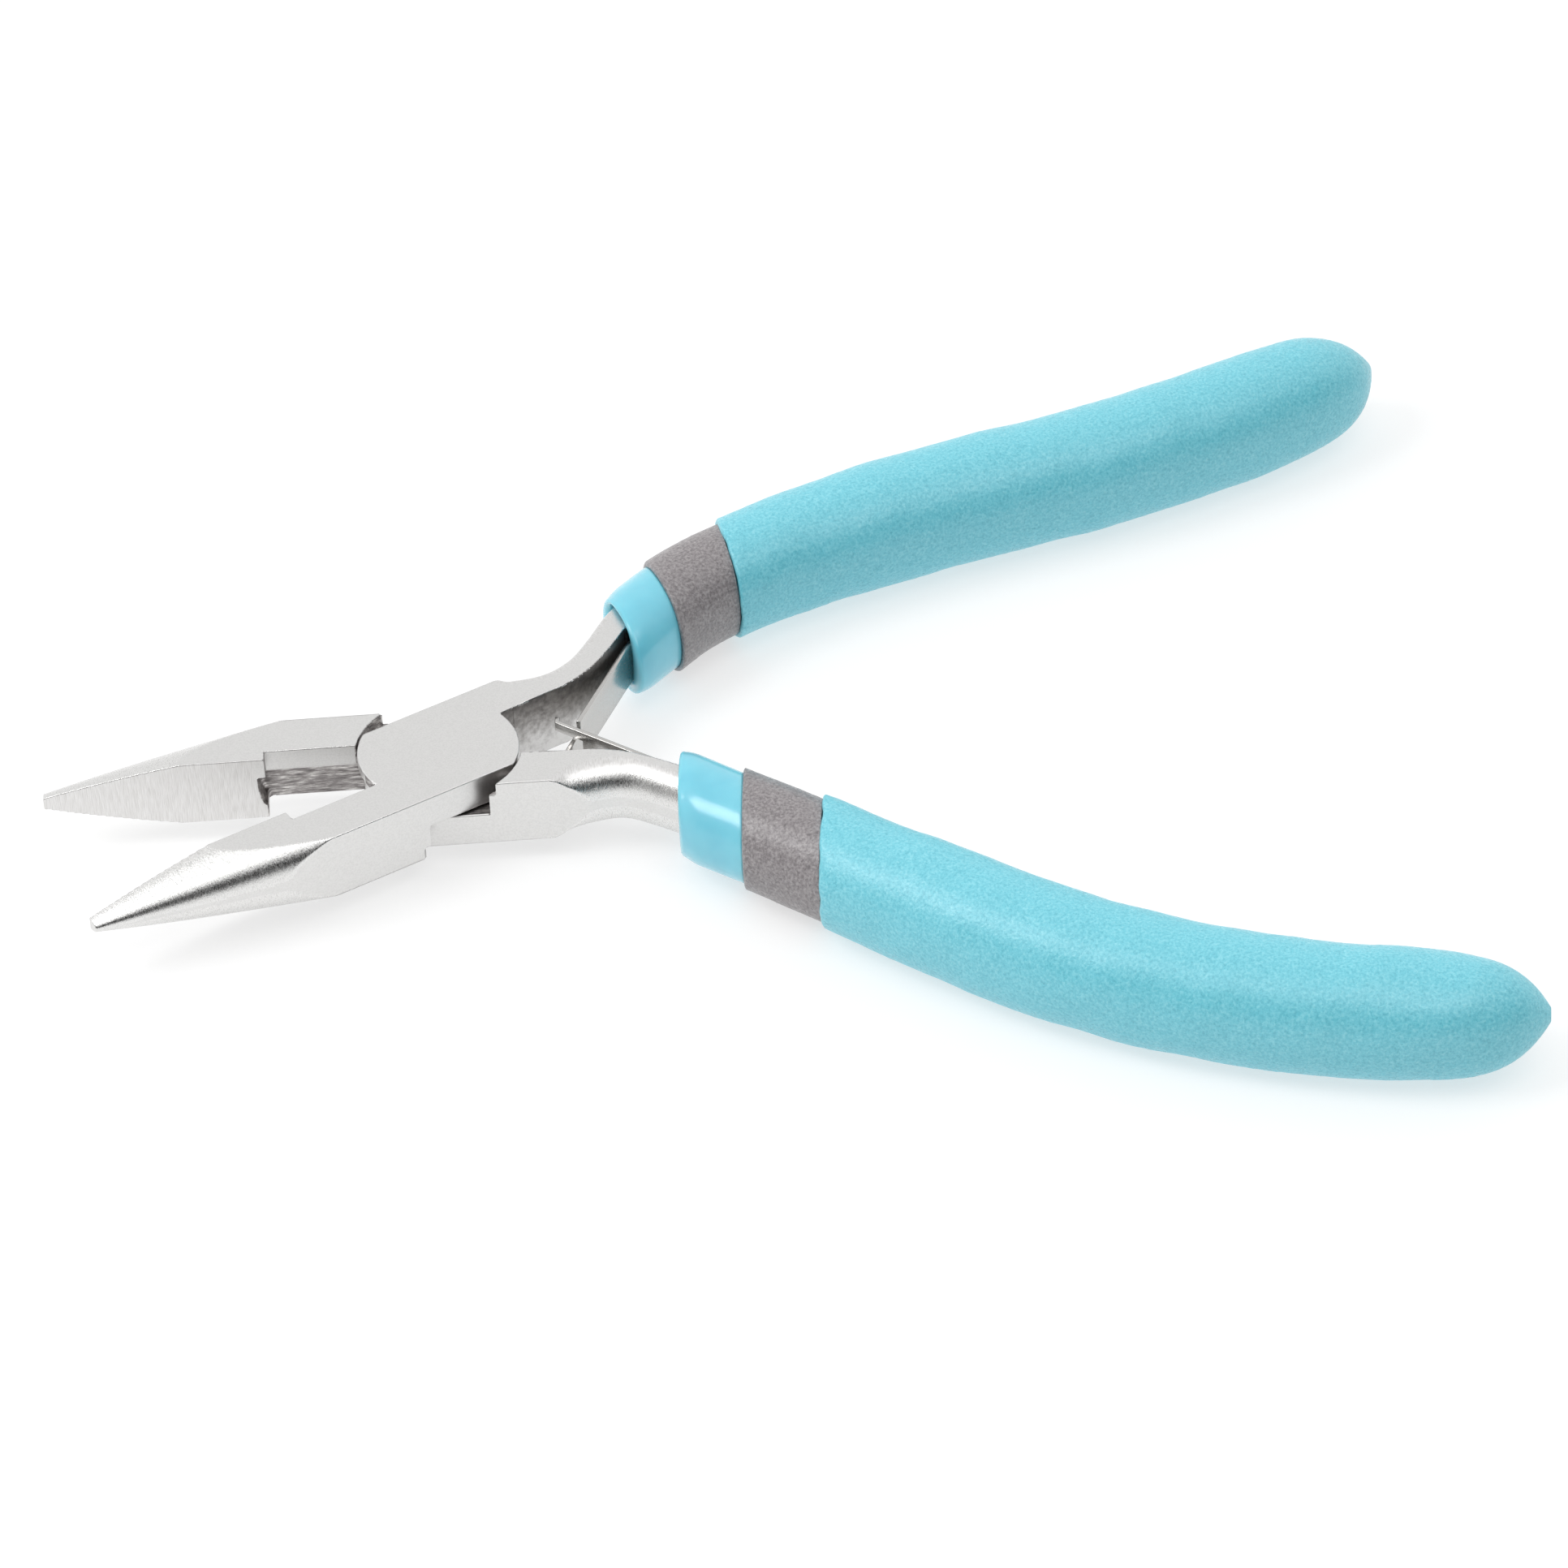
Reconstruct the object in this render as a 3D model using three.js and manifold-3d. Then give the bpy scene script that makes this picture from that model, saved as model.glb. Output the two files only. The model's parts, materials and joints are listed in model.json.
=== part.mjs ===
// Flat nose jewellery pliers with a lap joint, interlocking leaf springs and foam grips.
// Millimetres, +Z up. The origin is on the pivot axis, on the joint's flat underside.
// +X points from the pivot towards the handles, +Y towards the handle of the upper half.
import * as THREE from 'three';
import { mergeVertices } from 'three/addons/utils/BufferGeometryUtils.js';
import Module from 'manifold-3d';

const wasm = await Module();
wasm.setup();

// ---- Driving dimensions ----------------------------------------------------------------------
// Steel halves, drawn closed: the jaws meet on the plane y = 0, and each half turns by
// OPEN_ANGLE about the pivot to stand open.
const OPEN_ANGLE = THREE.MathUtils.degToRad(14.2);
const THICKNESS = 6.9;
const HEAD_HALF_WIDTH = 5.9;
const DISC_RADIUS = 7.55;
const SHOULDER_GAP = 0.2;
const SHOULDER_STEP = 0.45;
const SHOULDER_STEP_HEIGHT = 1.05;
const LAP_GAP = 0.2;
const JAW_GAP = 0.2;

// Jaws: together they make one ogive, squarish at the joint and oval at the tip.
const JAW_TIP_X = -37;
const JAW_BEND_X = -14.5;
const JAW_TIP_WIDTH = 1.35;
const JAW_TIP_HEIGHT = 0.62;
const GRIP_REAR_X = -16.2;
const RELIEF_SETBACK = 1.3;
const RELIEF_LOW_SETBACK = 3.3;
const RELIEF_RIDGE_Z = 1.25;

// Tang: its inner and outer edges in plan, from the joint to the grip's mouth.
const TANG_INNER_EDGE = [[7.4, 1.3], [11.7, 1.55], [15, 1.9], [18, 3.0], [21, 4.6], [24, 6.1]];
const TANG_OUTER_EDGE = [[9.4, 5.9], [11.4, 5.1], [14, 4.4], [17, 4.9], [20, 6.6], [23.1, 8.7]];
const TANG_EDGE_RADIUS = 2.1;

// Handles: centre line of each grip in plan, from its mouth to its end. The two differ: the
// upper half's handle runs on past the joint, the lower half's is bent away from it.
const UPPER_HANDLE = [[24, 7.25], [32.8, 10.05], [43, 10.8], [59, 9.1], [78, 5.4], [93.5, 3.9], [108.4, 3.75]];
const LOWER_HANDLE = [[22.1, 6.2], [32.1, 14], [43.7, 23.4], [57.7, 33.4], [71.8, 39.9], [85, 43.2], [97.5, 44.7]];
const UPPER_BANDS = { sleeve: 5.8, foamBand: 8.5 };
const LOWER_BANDS = { sleeve: 7.15, foamBand: 8.85 };
// Cuts across the grips stand nearly square to the tool, not to the handle: sideways millimetres
// times this slant are added along the handle. The slant holds for a way, then fades out.
const UPPER_CUT = { slant: 0.52, hold: 6 };
const LOWER_CUT = { slant: 0.65, hold: 17 };
const SLANT_FADE = 30;
const GRIP_SQUARENESS = 2.2;
const SLEEVE_RADIUS = 4.6;
const SLEEVE_NECK_RADIUS = 4.1;
const BAND_RADIUS = 5.05;
const GRIP_RADIUS = 5.85;
const GRIP_START_RADIUS = 5.5;
const GRIP_END_TAPER = 3.9;
const SOFT_GAP = 0.25;
const POCKET_GAP = 0.3;
const SLEEVE_END = 8;
const CORE_END = 14;
const CORE_HALF_WIDTH = 1.5;
const CORE_HALF_HEIGHT = 2.7;
const CORE_OFFSET = 0.8;
const CORE_TAPER = 6;

// Leaf springs: a full-height strip, then a half-height finger that crosses the other's.
const LEAF_THICKNESS = 0.45;
const LEAF_HALF_HEIGHT = 2.2;
const LEAF_BEND = [22.8, 4.4];
const LEAF_ANGLE = THREE.MathUtils.degToRad(37);
const LEAF_FULL_LENGTH = 11.6;
const LEAF_FINGER_LENGTH = 14.6;
const LEAF_WIDE_FINGER = [-2.2, 0.9];
const LEAF_NARROW_FINGER = [-2.2, -1.2];
const LEAF_LIP = 0.9;
const LEAF_TAB_OFFSET = -1.25;
const LEAF_TAB_START = 2.5;
const LEAF_TAB_END = 8;

// Rivets.
const RIVET_RADIUS = 2.2;
const RIVET_HEAD_RADIUS = 3.1;
const RIVET_HEAD_DEPTH = 0.9;
const RIVET_COVER = 0.9;
const RIVET_GAP = 0.15;
const SPRING_RIVET_RADIUS = 0.8;
const SPRING_RIVET_HEAD = 1.3;
const SPRING_RIVET_HEAD_DEPTH = 0.45;
const SPRING_RIVET_DEPTH = 1.6;
const SPRING_RIVET_AT = 5.6;

const HALF = THICKNESS / 2;
const BIG = 200;

// ---- Solids ----------------------------------------------------------------------------------
function solid(geometry) {
  const bare = geometry.clone();
  bare.deleteAttribute('normal');
  bare.deleteAttribute('uv');
  const merged = mergeVertices(bare, 1e-5);
  return new wasm.Manifold(new wasm.Mesh({
    numProp: 3,
    vertProperties: new Float32Array(merged.attributes.position.array),
    triVerts: new Uint32Array(merged.index.array),
  }));
}

function geometryOf(manifold) {
  const mesh = manifold.getMesh();
  const geometry = new THREE.BufferGeometry();
  geometry.setAttribute('position', new THREE.BufferAttribute(new Float32Array(mesh.vertProperties), 3));
  geometry.setIndex(new THREE.BufferAttribute(new Uint32Array(mesh.triVerts), 1));
  geometry.computeVertexNormals();
  return geometry;
}

// A plan outline raised from low to high.
function prism(outline, low, high) {
  const shape = outline instanceof THREE.Shape
    ? outline
    : new THREE.Shape(outline.map(([x, y]) => new THREE.Vector2(x, y)));
  const geometry = new THREE.ExtrudeGeometry(shape, { depth: high - low, bevelEnabled: false });
  geometry.translate(0, 0, low);
  return solid(geometry);
}

function block(low, high) {
  const size = high.map((value, i) => value - low[i]);
  const geometry = new THREE.BoxGeometry(...size);
  geometry.translate(...low.map((value, i) => value + size[i] / 2));
  return solid(geometry);
}

// An upright cylinder on the pivot axis.
function drum(radius, low, high, segments = 72) {
  const geometry = new THREE.CylinderGeometry(radius, radius, high - low, segments);
  geometry.rotateX(Math.PI / 2);
  geometry.translate(0, 0, (low + high) / 2);
  return solid(geometry);
}

// A closed skin through rings of equal count, with a fan of triangles over each end.
function loft(rings) {
  const count = rings[0].length;
  const positions = rings.flat().flatMap((point) => point.toArray());
  const index = [];
  for (let i = 0; i + 1 < rings.length; i += 1) {
    for (let j = 0; j < count; j += 1) {
      const a = i * count + j;
      const b = i * count + (j + 1) % count;
      index.push(a, b, a + count, b, b + count, a + count);
    }
  }
  const centres = [rings[0], rings.at(-1)].map((ring) => {
    const centre = ring.reduce((sum, point) => sum.add(point), new THREE.Vector3());
    return centre.divideScalar(count);
  });
  positions.push(...centres[0].toArray(), ...centres[1].toArray());
  const last = (rings.length - 1) * count;
  const hub = rings.length * count;
  for (let j = 0; j < count; j += 1) {
    const next = (j + 1) % count;
    index.push(hub, next, j, hub + 1, last + j, last + next);
  }
  const geometry = new THREE.BufferGeometry();
  geometry.setAttribute('position', new THREE.Float32BufferAttribute(positions, 3));
  geometry.setIndex(index);
  const manifold = solid(geometry);
  return manifold.volume() < 0 ? solid(flipped(geometry)) : manifold;
}

function flipped(geometry) {
  const index = geometry.index.array;
  for (let i = 0; i < index.length; i += 3) {
    [index[i], index[i + 1]] = [index[i + 1], index[i]];
  }
  return geometry;
}

// One point of a superellipse with half sizes a and b: power 2 is an ellipse, more is squarer.
function superPoint(angle, a, b, power) {
  const reach = (value) => Math.sign(value) * Math.abs(value) ** (2 / power);
  return [a * reach(Math.cos(angle)), b * reach(Math.sin(angle))];
}

const clamp01 = (value) => Math.min(1, Math.max(0, value));
const smooth = (value) => clamp01(value) ** 2 * (3 - 2 * clamp01(value));
const mix = (a, b, k) => a + (b - a) * k;

// ---- Steel halves ----------------------------------------------------------------------------
// Both halves are drawn with the jaw on the -Y side and the tang on the +Y side.

// The closed pair of jaws as one tapering solid around the X axis.
function jawOgive() {
  const stations = 14;
  const around = 32;
  const rings = [];
  for (let i = 0; i <= stations; i += 1) {
    const x = mix(JAW_TIP_X, JAW_BEND_X + 3, i / stations);
    const run = (x - JAW_TIP_X) / (JAW_BEND_X - JAW_TIP_X);
    const halfWidth = JAW_TIP_WIDTH + 6.8 * run - 1.7 * run ** 2;
    const halfHeight = JAW_TIP_HEIGHT + 6.1 * run - 2.7 * run ** 2;
    const power = 2.2 + 3.4 * run ** 3;
    const ring = [];
    for (let j = 0; j < around; j += 1) {
      const [y, z] = superPoint((j / around) * 2 * Math.PI, halfWidth, halfHeight, power);
      ring.push(new THREE.Vector3(x, y, z));
    }
    rings.push(ring);
  }
  return loft(rings);
}

function jaw(relief) {
  const side = -HEAD_HALF_WIDTH;
  const face = -JAW_GAP / 2;
  const front = jawOgive().intersect(block([-BIG, side, -HALF], [JAW_BEND_X + 1, face, HALF]));
  const neck = block([JAW_BEND_X, side, -HALF], [0, face, HALF]);
  return front.add(neck).subtract(relief);
}

// The space behind the gripping face: a straight wall, or a ridge with a wall sloping away from
// it towards the top.
function straightRelief() {
  return block([GRIP_REAR_X, -RELIEF_SETBACK, -BIG], [1, 1, BIG]);
}

function slopedRelief() {
  const section = [
    [1, -HALF - 1],
    [1, HALF + 1],
    [-RELIEF_LOW_SETBACK, HALF + 1],
    [-RELIEF_LOW_SETBACK, HALF],
    [-RELIEF_SETBACK - 0.3, -RELIEF_RIDGE_Z],
    [-RELIEF_SETBACK, -RELIEF_RIDGE_Z],
    [-RELIEF_SETBACK, -HALF - 1],
  ].map(([y, z]) => new THREE.Vector2(y, z));
  const depth = 1 - GRIP_REAR_X;
  const geometry = new THREE.ExtrudeGeometry(new THREE.Shape(section), { depth, bevelEnabled: false });
  // The section's plane becomes the YZ plane, and its depth runs along +X.
  geometry.applyMatrix4(new THREE.Matrix4().makeBasis(
    new THREE.Vector3(0, 1, 0), new THREE.Vector3(0, 0, 1), new THREE.Vector3(1, 0, 0),
  ));
  geometry.translate(GRIP_REAR_X, 0, 0);
  return solid(geometry);
}

// The tang from the joint to the grip: square along its inner edge, rounded along its outer one.
function tang() {
  const inner = new THREE.SplineCurve(TANG_INNER_EDGE.map((p) => new THREE.Vector2(...p)));
  const outer = new THREE.SplineCurve(TANG_OUTER_EDGE.map((p) => new THREE.Vector2(...p)));
  const stations = 12;
  const roundSteps = 4;
  const rings = [];
  for (let i = 0; i <= stations; i += 1) {
    const run = i / stations;
    const start = inner.getPoint(run);
    const across = outer.getPoint(run).sub(start);
    const width = across.length();
    const radius = mix(0.05, Math.min(TANG_EDGE_RADIUS, width * 0.85), smooth(run / 0.5));
    const section = [[0, -HALF], [0, HALF]];
    for (let j = 0; j <= roundSteps; j += 1) {
      const angle = (j / roundSteps) * Math.PI / 2;
      section.push([width - radius * (1 - Math.sin(angle)), HALF - radius * (1 - Math.cos(angle))]);
    }
    for (let j = 0; j <= roundSteps; j += 1) {
      const angle = (j / roundSteps) * Math.PI / 2;
      section.push([width - radius * (1 - Math.cos(angle)), -HALF + radius * (1 - Math.sin(angle))]);
    }
    rings.push(section.map(([reach, z]) => {
      const plan = start.clone().addScaledVector(across, reach / width);
      return new THREE.Vector3(plan.x, plan.y, z);
    }));
  }
  return loft(rings);
}

// The joint's flat plate: a disc with a wider rim at its outer face, cut to the head's width.
function plate() {
  const low = LAP_GAP / 2;
  const strip = block([-BIG, -HEAD_HALF_WIDTH, low], [BIG, HEAD_HALF_WIDTH, HALF]);
  return drum(DISC_RADIUS - SHOULDER_STEP, low, HALF)
    .add(drum(DISC_RADIUS, HALF - SHOULDER_STEP_HEIGHT, HALF))
    .intersect(strip);
}

function steelHalf(handle, relief) {
  const rimRadius = DISC_RADIUS + SHOULDER_GAP;
  const tangRoot = prism([[0, RELIEF_SETBACK], [7.6, RELIEF_SETBACK], [11.7, 1.6], [11.4, 5.1],
    [9.4, HEAD_HALF_WIDTH], [0, HEAD_HALF_WIDTH]], -HALF, HALF);
  const lap = drum(rimRadius - SHOULDER_STEP, -BIG, LAP_GAP / 2);
  const step = drum(rimRadius, -BIG, -HALF + SHOULDER_STEP_HEIGHT + SHOULDER_GAP);
  return jaw(relief)
    .add(tangRoot)
    .add(tang())
    .subtract(lap)
    .subtract(step)
    .add(plate())
    .add(handleCore(handle))
    .subtract(springRivetHole(handle));
}

// ---- Handles ---------------------------------------------------------------------------------
// A handle's centre line is measured by arc length from the grip's mouth.
function handleLine(points, cut) {
  const curve = new THREE.CatmullRomCurve3(points.map(([x, y]) => new THREE.Vector3(x, y, 0)));
  const length = curve.getLength();
  const along = (distance) => {
    const k = clamp01(distance / length);
    const point = curve.getPointAt(k);
    const tangent = curve.getTangentAt(k);
    point.addScaledVector(tangent, distance - k * length);
    return { point, tangent, outward: new THREE.Vector3(-tangent.y, tangent.x, 0) };
  };
  const lean = (distance) => cut.slant * (1 - smooth((distance - cut.hold) / SLANT_FADE));
  return { length, along, lean };
}

function spaced(from, to, steps) {
  return Array.from({ length: steps + 1 }, (_, i) => mix(from, to, i / steps));
}

// A skin around the centre line through rings at the given distances. size gives each section's
// half width, half height, power and sideways offset.
function sheath(line, distances, size, around) {
  return loft(distances.map((distance) => {
    const { halfWidth, halfHeight, power, offset = 0 } = size(distance);
    return spaced(0, 2 * Math.PI, around).slice(1).map((angle) => {
      const [across, z] = superPoint(angle, halfWidth, halfHeight, power);
      const side = across + offset;
      const { point, outward } = line.along(distance + line.lean(distance) * side);
      return point.addScaledVector(outward, side).setZ(z);
    });
  }));
}

const round = (radius) => ({ halfWidth: radius, halfHeight: radius, power: GRIP_SQUARENESS });

// The steel inside the grip, which thins from the tang's height to a flat bar.
function coreSize(distance, gap = 0) {
  const thin = smooth(distance / CORE_TAPER);
  return {
    halfWidth: CORE_HALF_WIDTH + gap,
    halfHeight: mix(HALF - 0.05, CORE_HALF_HEIGHT, thin) + gap,
    power: 9,
    offset: CORE_OFFSET,
  };
}

function handleCore(line) {
  return sheath(line, spaced(-1, line.length - CORE_END, 14), (distance) => coreSize(distance), 12);
}

// The pocket in the sleeve: open at its mouth, then wide enough for the leaf's tab and its rivet
// beside the core, then close round the core.
function sleevePocket(line) {
  const mouth = { halfWidth: 3.1, offset: -0.35, power: 4 };
  const tabbed = { halfWidth: 2.45, offset: 0.1, power: 9 };
  const blend = (from, to, k) => Object.fromEntries(
    Object.keys(from).map((key) => [key, mix(from[key], to[key], k)]),
  );
  const near = spaced(-4, LEAF_TAB_END + 4, 8);
  const far = spaced(LEAF_TAB_END + 8, line.length - CORE_END + 0.5, 11);
  return sheath(line, [...near, ...far], (distance) => {
    const { halfHeight, ...core } = coreSize(distance, POCKET_GAP);
    const opening = blend(mouth, tabbed, smooth((distance - 2) / 3));
    return { halfHeight, ...blend(opening, core, smooth((distance - LEAF_TAB_END - 1) / 2)) };
  }, 12);
}

function sleeve(line, bands) {
  const end = line.length - SLEEVE_END;
  const exposed = spaced(0, bands.sleeve, 3);
  const covered = spaced(bands.sleeve + 0.02, end, 16);
  const skin = sheath(line, [...exposed, ...covered], (distance) => {
    const left = clamp01((end - distance) / 6);
    const tip = Math.max(Math.sqrt(left * (2 - left)), 0.3);
    return round(distance > bands.sleeve ? SLEEVE_NECK_RADIUS * tip : SLEEVE_RADIUS);
  }, 20);
  return skin.subtract(sleevePocket(line));
}

function foamPocket(line, from) {
  const end = line.length - SLEEVE_END + 1;
  return sheath(line, spaced(from, end, 16), () => round(SLEEVE_NECK_RADIUS + SOFT_GAP), 20);
}

function foamBand(line, bands) {
  const from = bands.sleeve + SOFT_GAP;
  const to = bands.sleeve + bands.foamBand;
  const skin = sheath(line, spaced(from, to, 4), () => round(BAND_RADIUS), 24);
  return skin.subtract(foamPocket(line, from - 2));
}

// The foam grip swells from its front edge and draws in to a small nub at its closed end.
function foamGrip(line, bands) {
  const from = bands.sleeve + bands.foamBand + SOFT_GAP;
  const swellLength = 20;
  const nub = 0.35;
  // Rings crowd towards the end, where the radius changes quickly.
  const distances = spaced(0, 1, 24).map((k) => mix(line.length, from, (1 - k) ** 1.6));
  const skin = sheath(line, distances, (distance) => {
    const draw = 1 - Math.exp(-(line.length - distance + nub) / GRIP_END_TAPER);
    const swell = smooth((distance - from) / swellLength);
    return round(mix(GRIP_START_RADIUS, GRIP_RADIUS, swell) * draw);
  }, 24);
  return skin.subtract(foamPocket(line, from - 2));
}

// ---- Leaf springs ----------------------------------------------------------------------------
// The strip runs from its tab beside the core, round a bend at the mouth, to the finger's lip.
function leafPath(line) {
  const tabPoint = (distance) => {
    const { point, outward } = line.along(distance);
    return point.addScaledVector(outward, LEAF_TAB_OFFSET);
  };
  const bend = new THREE.Vector3(...LEAF_BEND, 0);
  const lean = new THREE.Vector3(-Math.cos(LEAF_ANGLE), -Math.sin(LEAF_ANGLE), 0);
  return {
    tab: [tabPoint(LEAF_TAB_END), tabPoint(LEAF_TAB_START), bend],
    bend,
    lean,
    full: bend.clone().addScaledVector(lean, LEAF_FULL_LENGTH),
    end: bend.clone().addScaledVector(lean, LEAF_FINGER_LENGTH),
  };
}

// A strip of the leaf's thickness through plan points, standing from low to high.
function strip(points, low, high) {
  const sides = [1, -1].map((sign) => points.map((point, i) => {
    const before = points[Math.max(i - 1, 0)];
    const after = points[Math.min(i + 1, points.length - 1)];
    const tangent = after.clone().sub(before).normalize();
    const across = new THREE.Vector3(-tangent.y, tangent.x, 0);
    return point.clone().addScaledVector(across, sign * LEAF_THICKNESS / 2);
  }));
  const outline = [...sides[0], ...sides[1].reverse()].map((point) => [point.x, point.y]);
  return prism(outline, low, high);
}

function leafSpring(line, finger) {
  const path = leafPath(line);
  const lipTurn = THREE.MathUtils.degToRad(60);
  const lip = path.lean.clone().applyAxisAngle(new THREE.Vector3(0, 0, 1), lipTurn);
  const lipEnd = path.end.clone().addScaledVector(lip, LEAF_LIP);
  const fingerStart = path.full.clone().addScaledVector(path.lean, -1);
  return strip([...path.tab, path.full], -LEAF_HALF_HEIGHT, LEAF_HALF_HEIGHT)
    .add(strip([fingerStart, path.end, lipEnd], ...finger))
    .subtract(springRivetPin(line, SPRING_RIVET_RADIUS + RIVET_GAP, -BIG / 20, SPRING_RIVET_DEPTH));
}

// A round pin lying across the handle, from one sideways offset to another.
function springRivetPin(line, radius, from, to) {
  const { point, outward } = line.along(SPRING_RIVET_AT);
  const geometry = new THREE.CylinderGeometry(radius, radius, to - from, 16);
  const turn = new THREE.Quaternion().setFromUnitVectors(new THREE.Vector3(0, 1, 0), outward);
  geometry.applyQuaternion(turn);
  const centre = point.addScaledVector(outward, (from + to) / 2);
  geometry.translate(centre.x, centre.y, 0);
  return solid(geometry);
}

function springRivetHole(line) {
  return springRivetPin(line, SPRING_RIVET_RADIUS + RIVET_GAP, LEAF_TAB_OFFSET, SPRING_RIVET_DEPTH + RIVET_GAP);
}

function springRivet(line) {
  const headFace = LEAF_TAB_OFFSET - LEAF_THICKNESS / 2 - RIVET_GAP;
  return springRivetPin(line, SPRING_RIVET_RADIUS, headFace - 0.1, SPRING_RIVET_DEPTH)
    .add(springRivetPin(line, SPRING_RIVET_HEAD, headFace - SPRING_RIVET_HEAD_DEPTH, headFace));
}

// ---- Pivot rivet -----------------------------------------------------------------------------
// Headed and flush on the underside; its upper end stops inside the upper half, under its face.
function pivotRivet(gap = 0) {
  const top = HALF - RIVET_COVER + gap;
  const below = gap > 0 ? -BIG : -HALF;
  return drum(RIVET_RADIUS + gap, below, top, 64)
    .add(drum(RIVET_HEAD_RADIUS + gap, below, -HALF + RIVET_HEAD_DEPTH + gap, 64));
}

// ---- Materials -------------------------------------------------------------------------------
function material(color, roughness, metalness) {
  return new THREE.MeshStandardMaterial({ color, roughness, metalness });
}
const steel = () => material(0xd4d3d1, 0.32, 1);
const springSteel = () => material(0xc4c4c4, 0.22, 1);
const glossVinyl = () => material(0x6fd0e6, 0.12, 0);
const greyFoam = () => material(0x8a8286, 0.85, 0);
const blueFoam = () => material(0x6ac5d7, 0.8, 0);

function mesh(name, manifold, look) {
  const result = new THREE.Mesh(geometryOf(manifold), look);
  result.name = name;
  return result;
}

// ---- Assembly --------------------------------------------------------------------------------
const upperLine = handleLine(UPPER_HANDLE, UPPER_CUT);
const lowerLine = handleLine(LOWER_HANDLE, LOWER_CUT);

// Everything carried by one steel half, drawn closed with the tang on the +Y side.
function handleParts(name, line, bands, finger) {
  return [
    mesh(`leaf_spring_${name}`, leafSpring(line, finger), springSteel()),
    mesh(`spring_rivet_${name}`, springRivet(line), steel()),
    mesh(`handle_sleeve_${name}`, sleeve(line, bands), glossVinyl()),
    mesh(`foam_band_${name}`, foamBand(line, bands), greyFoam()),
    mesh(`foam_grip_${name}`, foamGrip(line, bands), blueFoam()),
  ];
}

const bore = pivotRivet(RIVET_GAP);

const upper = new THREE.Group();
upper.rotation.z = OPEN_ANGLE;
upper.position.z = HALF;
upper.add(
  mesh('steel_half_upper', steelHalf(upperLine, straightRelief()).subtract(bore), steel()),
  mesh('pivot_rivet', pivotRivet(), steel()),
  ...handleParts('upper', upperLine, UPPER_BANDS, LEAF_WIDE_FINGER),
);

// The lower half is the same forging turned over about the X axis: a half turn brings its tang
// to the -Y side and its plate below.
const lower = new THREE.Group();
lower.rotation.set(Math.PI, 0, OPEN_ANGLE);
lower.position.z = HALF;
const turnedBore = geometryOf(bore).rotateX(Math.PI);
lower.add(
  mesh('steel_half_lower', steelHalf(lowerLine, slopedRelief()).subtract(solid(turnedBore)), steel()),
  ...handleParts('lower', lowerLine, LOWER_BANDS, LEAF_NARROW_FINGER),
);

const pliers = new THREE.Group();
pliers.add(upper, lower);

export default pliers;
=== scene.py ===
"""Flat nose pliers: detailed steel, leaf springs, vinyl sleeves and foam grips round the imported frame."""
import json
import math

import bpy
import numpy as np
from mathutils import Matrix, Vector


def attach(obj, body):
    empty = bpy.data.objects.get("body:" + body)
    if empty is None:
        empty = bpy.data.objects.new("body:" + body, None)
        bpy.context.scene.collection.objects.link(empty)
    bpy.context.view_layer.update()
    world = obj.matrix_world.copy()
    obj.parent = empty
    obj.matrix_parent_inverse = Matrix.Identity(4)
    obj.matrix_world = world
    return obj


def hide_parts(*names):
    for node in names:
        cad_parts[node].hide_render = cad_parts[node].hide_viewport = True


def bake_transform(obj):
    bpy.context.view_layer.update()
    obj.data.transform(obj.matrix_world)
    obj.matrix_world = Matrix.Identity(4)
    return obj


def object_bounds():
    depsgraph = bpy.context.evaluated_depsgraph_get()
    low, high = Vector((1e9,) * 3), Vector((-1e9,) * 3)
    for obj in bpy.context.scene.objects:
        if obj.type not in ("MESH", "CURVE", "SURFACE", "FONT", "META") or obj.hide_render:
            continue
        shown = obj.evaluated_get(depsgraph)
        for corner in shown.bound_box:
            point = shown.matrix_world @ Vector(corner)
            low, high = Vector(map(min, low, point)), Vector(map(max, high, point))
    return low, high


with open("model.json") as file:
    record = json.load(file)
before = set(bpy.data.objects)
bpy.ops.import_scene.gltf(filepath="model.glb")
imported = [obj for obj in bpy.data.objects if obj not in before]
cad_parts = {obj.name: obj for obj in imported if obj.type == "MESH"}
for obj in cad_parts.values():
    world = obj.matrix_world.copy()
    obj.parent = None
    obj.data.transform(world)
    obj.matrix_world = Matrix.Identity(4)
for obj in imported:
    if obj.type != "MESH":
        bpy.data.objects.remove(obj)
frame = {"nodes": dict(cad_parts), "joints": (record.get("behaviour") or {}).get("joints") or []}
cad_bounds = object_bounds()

# ---- Places and sizes: millimetres, drawn closed, jaw towards -X and -Y, handle towards +X and +Y ----
MM = 0.001
JOINTS = {joint["name"]: joint for joint in frame["joints"]}
PIVOT = JOINTS["handle_pivot"]
# At rest each half is turned open by half of what the pivot can close.
OPEN_ANGLE = math.radians(PIVOT["range_deg"][1]) / 2
# Half the joint's thickness, which is also the height of the mid plane.
HALF = PIVOT["pos_m"][2] / MM
EDGE = 0.09

# Lap joint: a disc between two flat sides, in a round shoulder with a step at its edge.
HEAD_HALF_WIDTH = 5.9
DISC_RADIUS = 7.55
SHOULDER_GAP = 0.2
SHOULDER_STEP = 0.45
SHOULDER_STEP_HEIGHT = 1.05
LAP_GAP = 0.2

# Jaws: half width and half height grow along the jaw as a + b * run + c * run**2.
JAW_GAP = 0.2
JAW_TIP_X = -37.0
JAW_BEND_X = -14.5
JAW_END_X = 1
JAW_WIDTH_GROWTH = (1.35, 6.45, -0.9)
JAW_HEIGHT_GROWTH = (0.62, 5.96, -1.8)
JAW_TIP_SQUARENESS = 2.2
JAW_ROOT_SQUARENESS = 3.0

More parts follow.
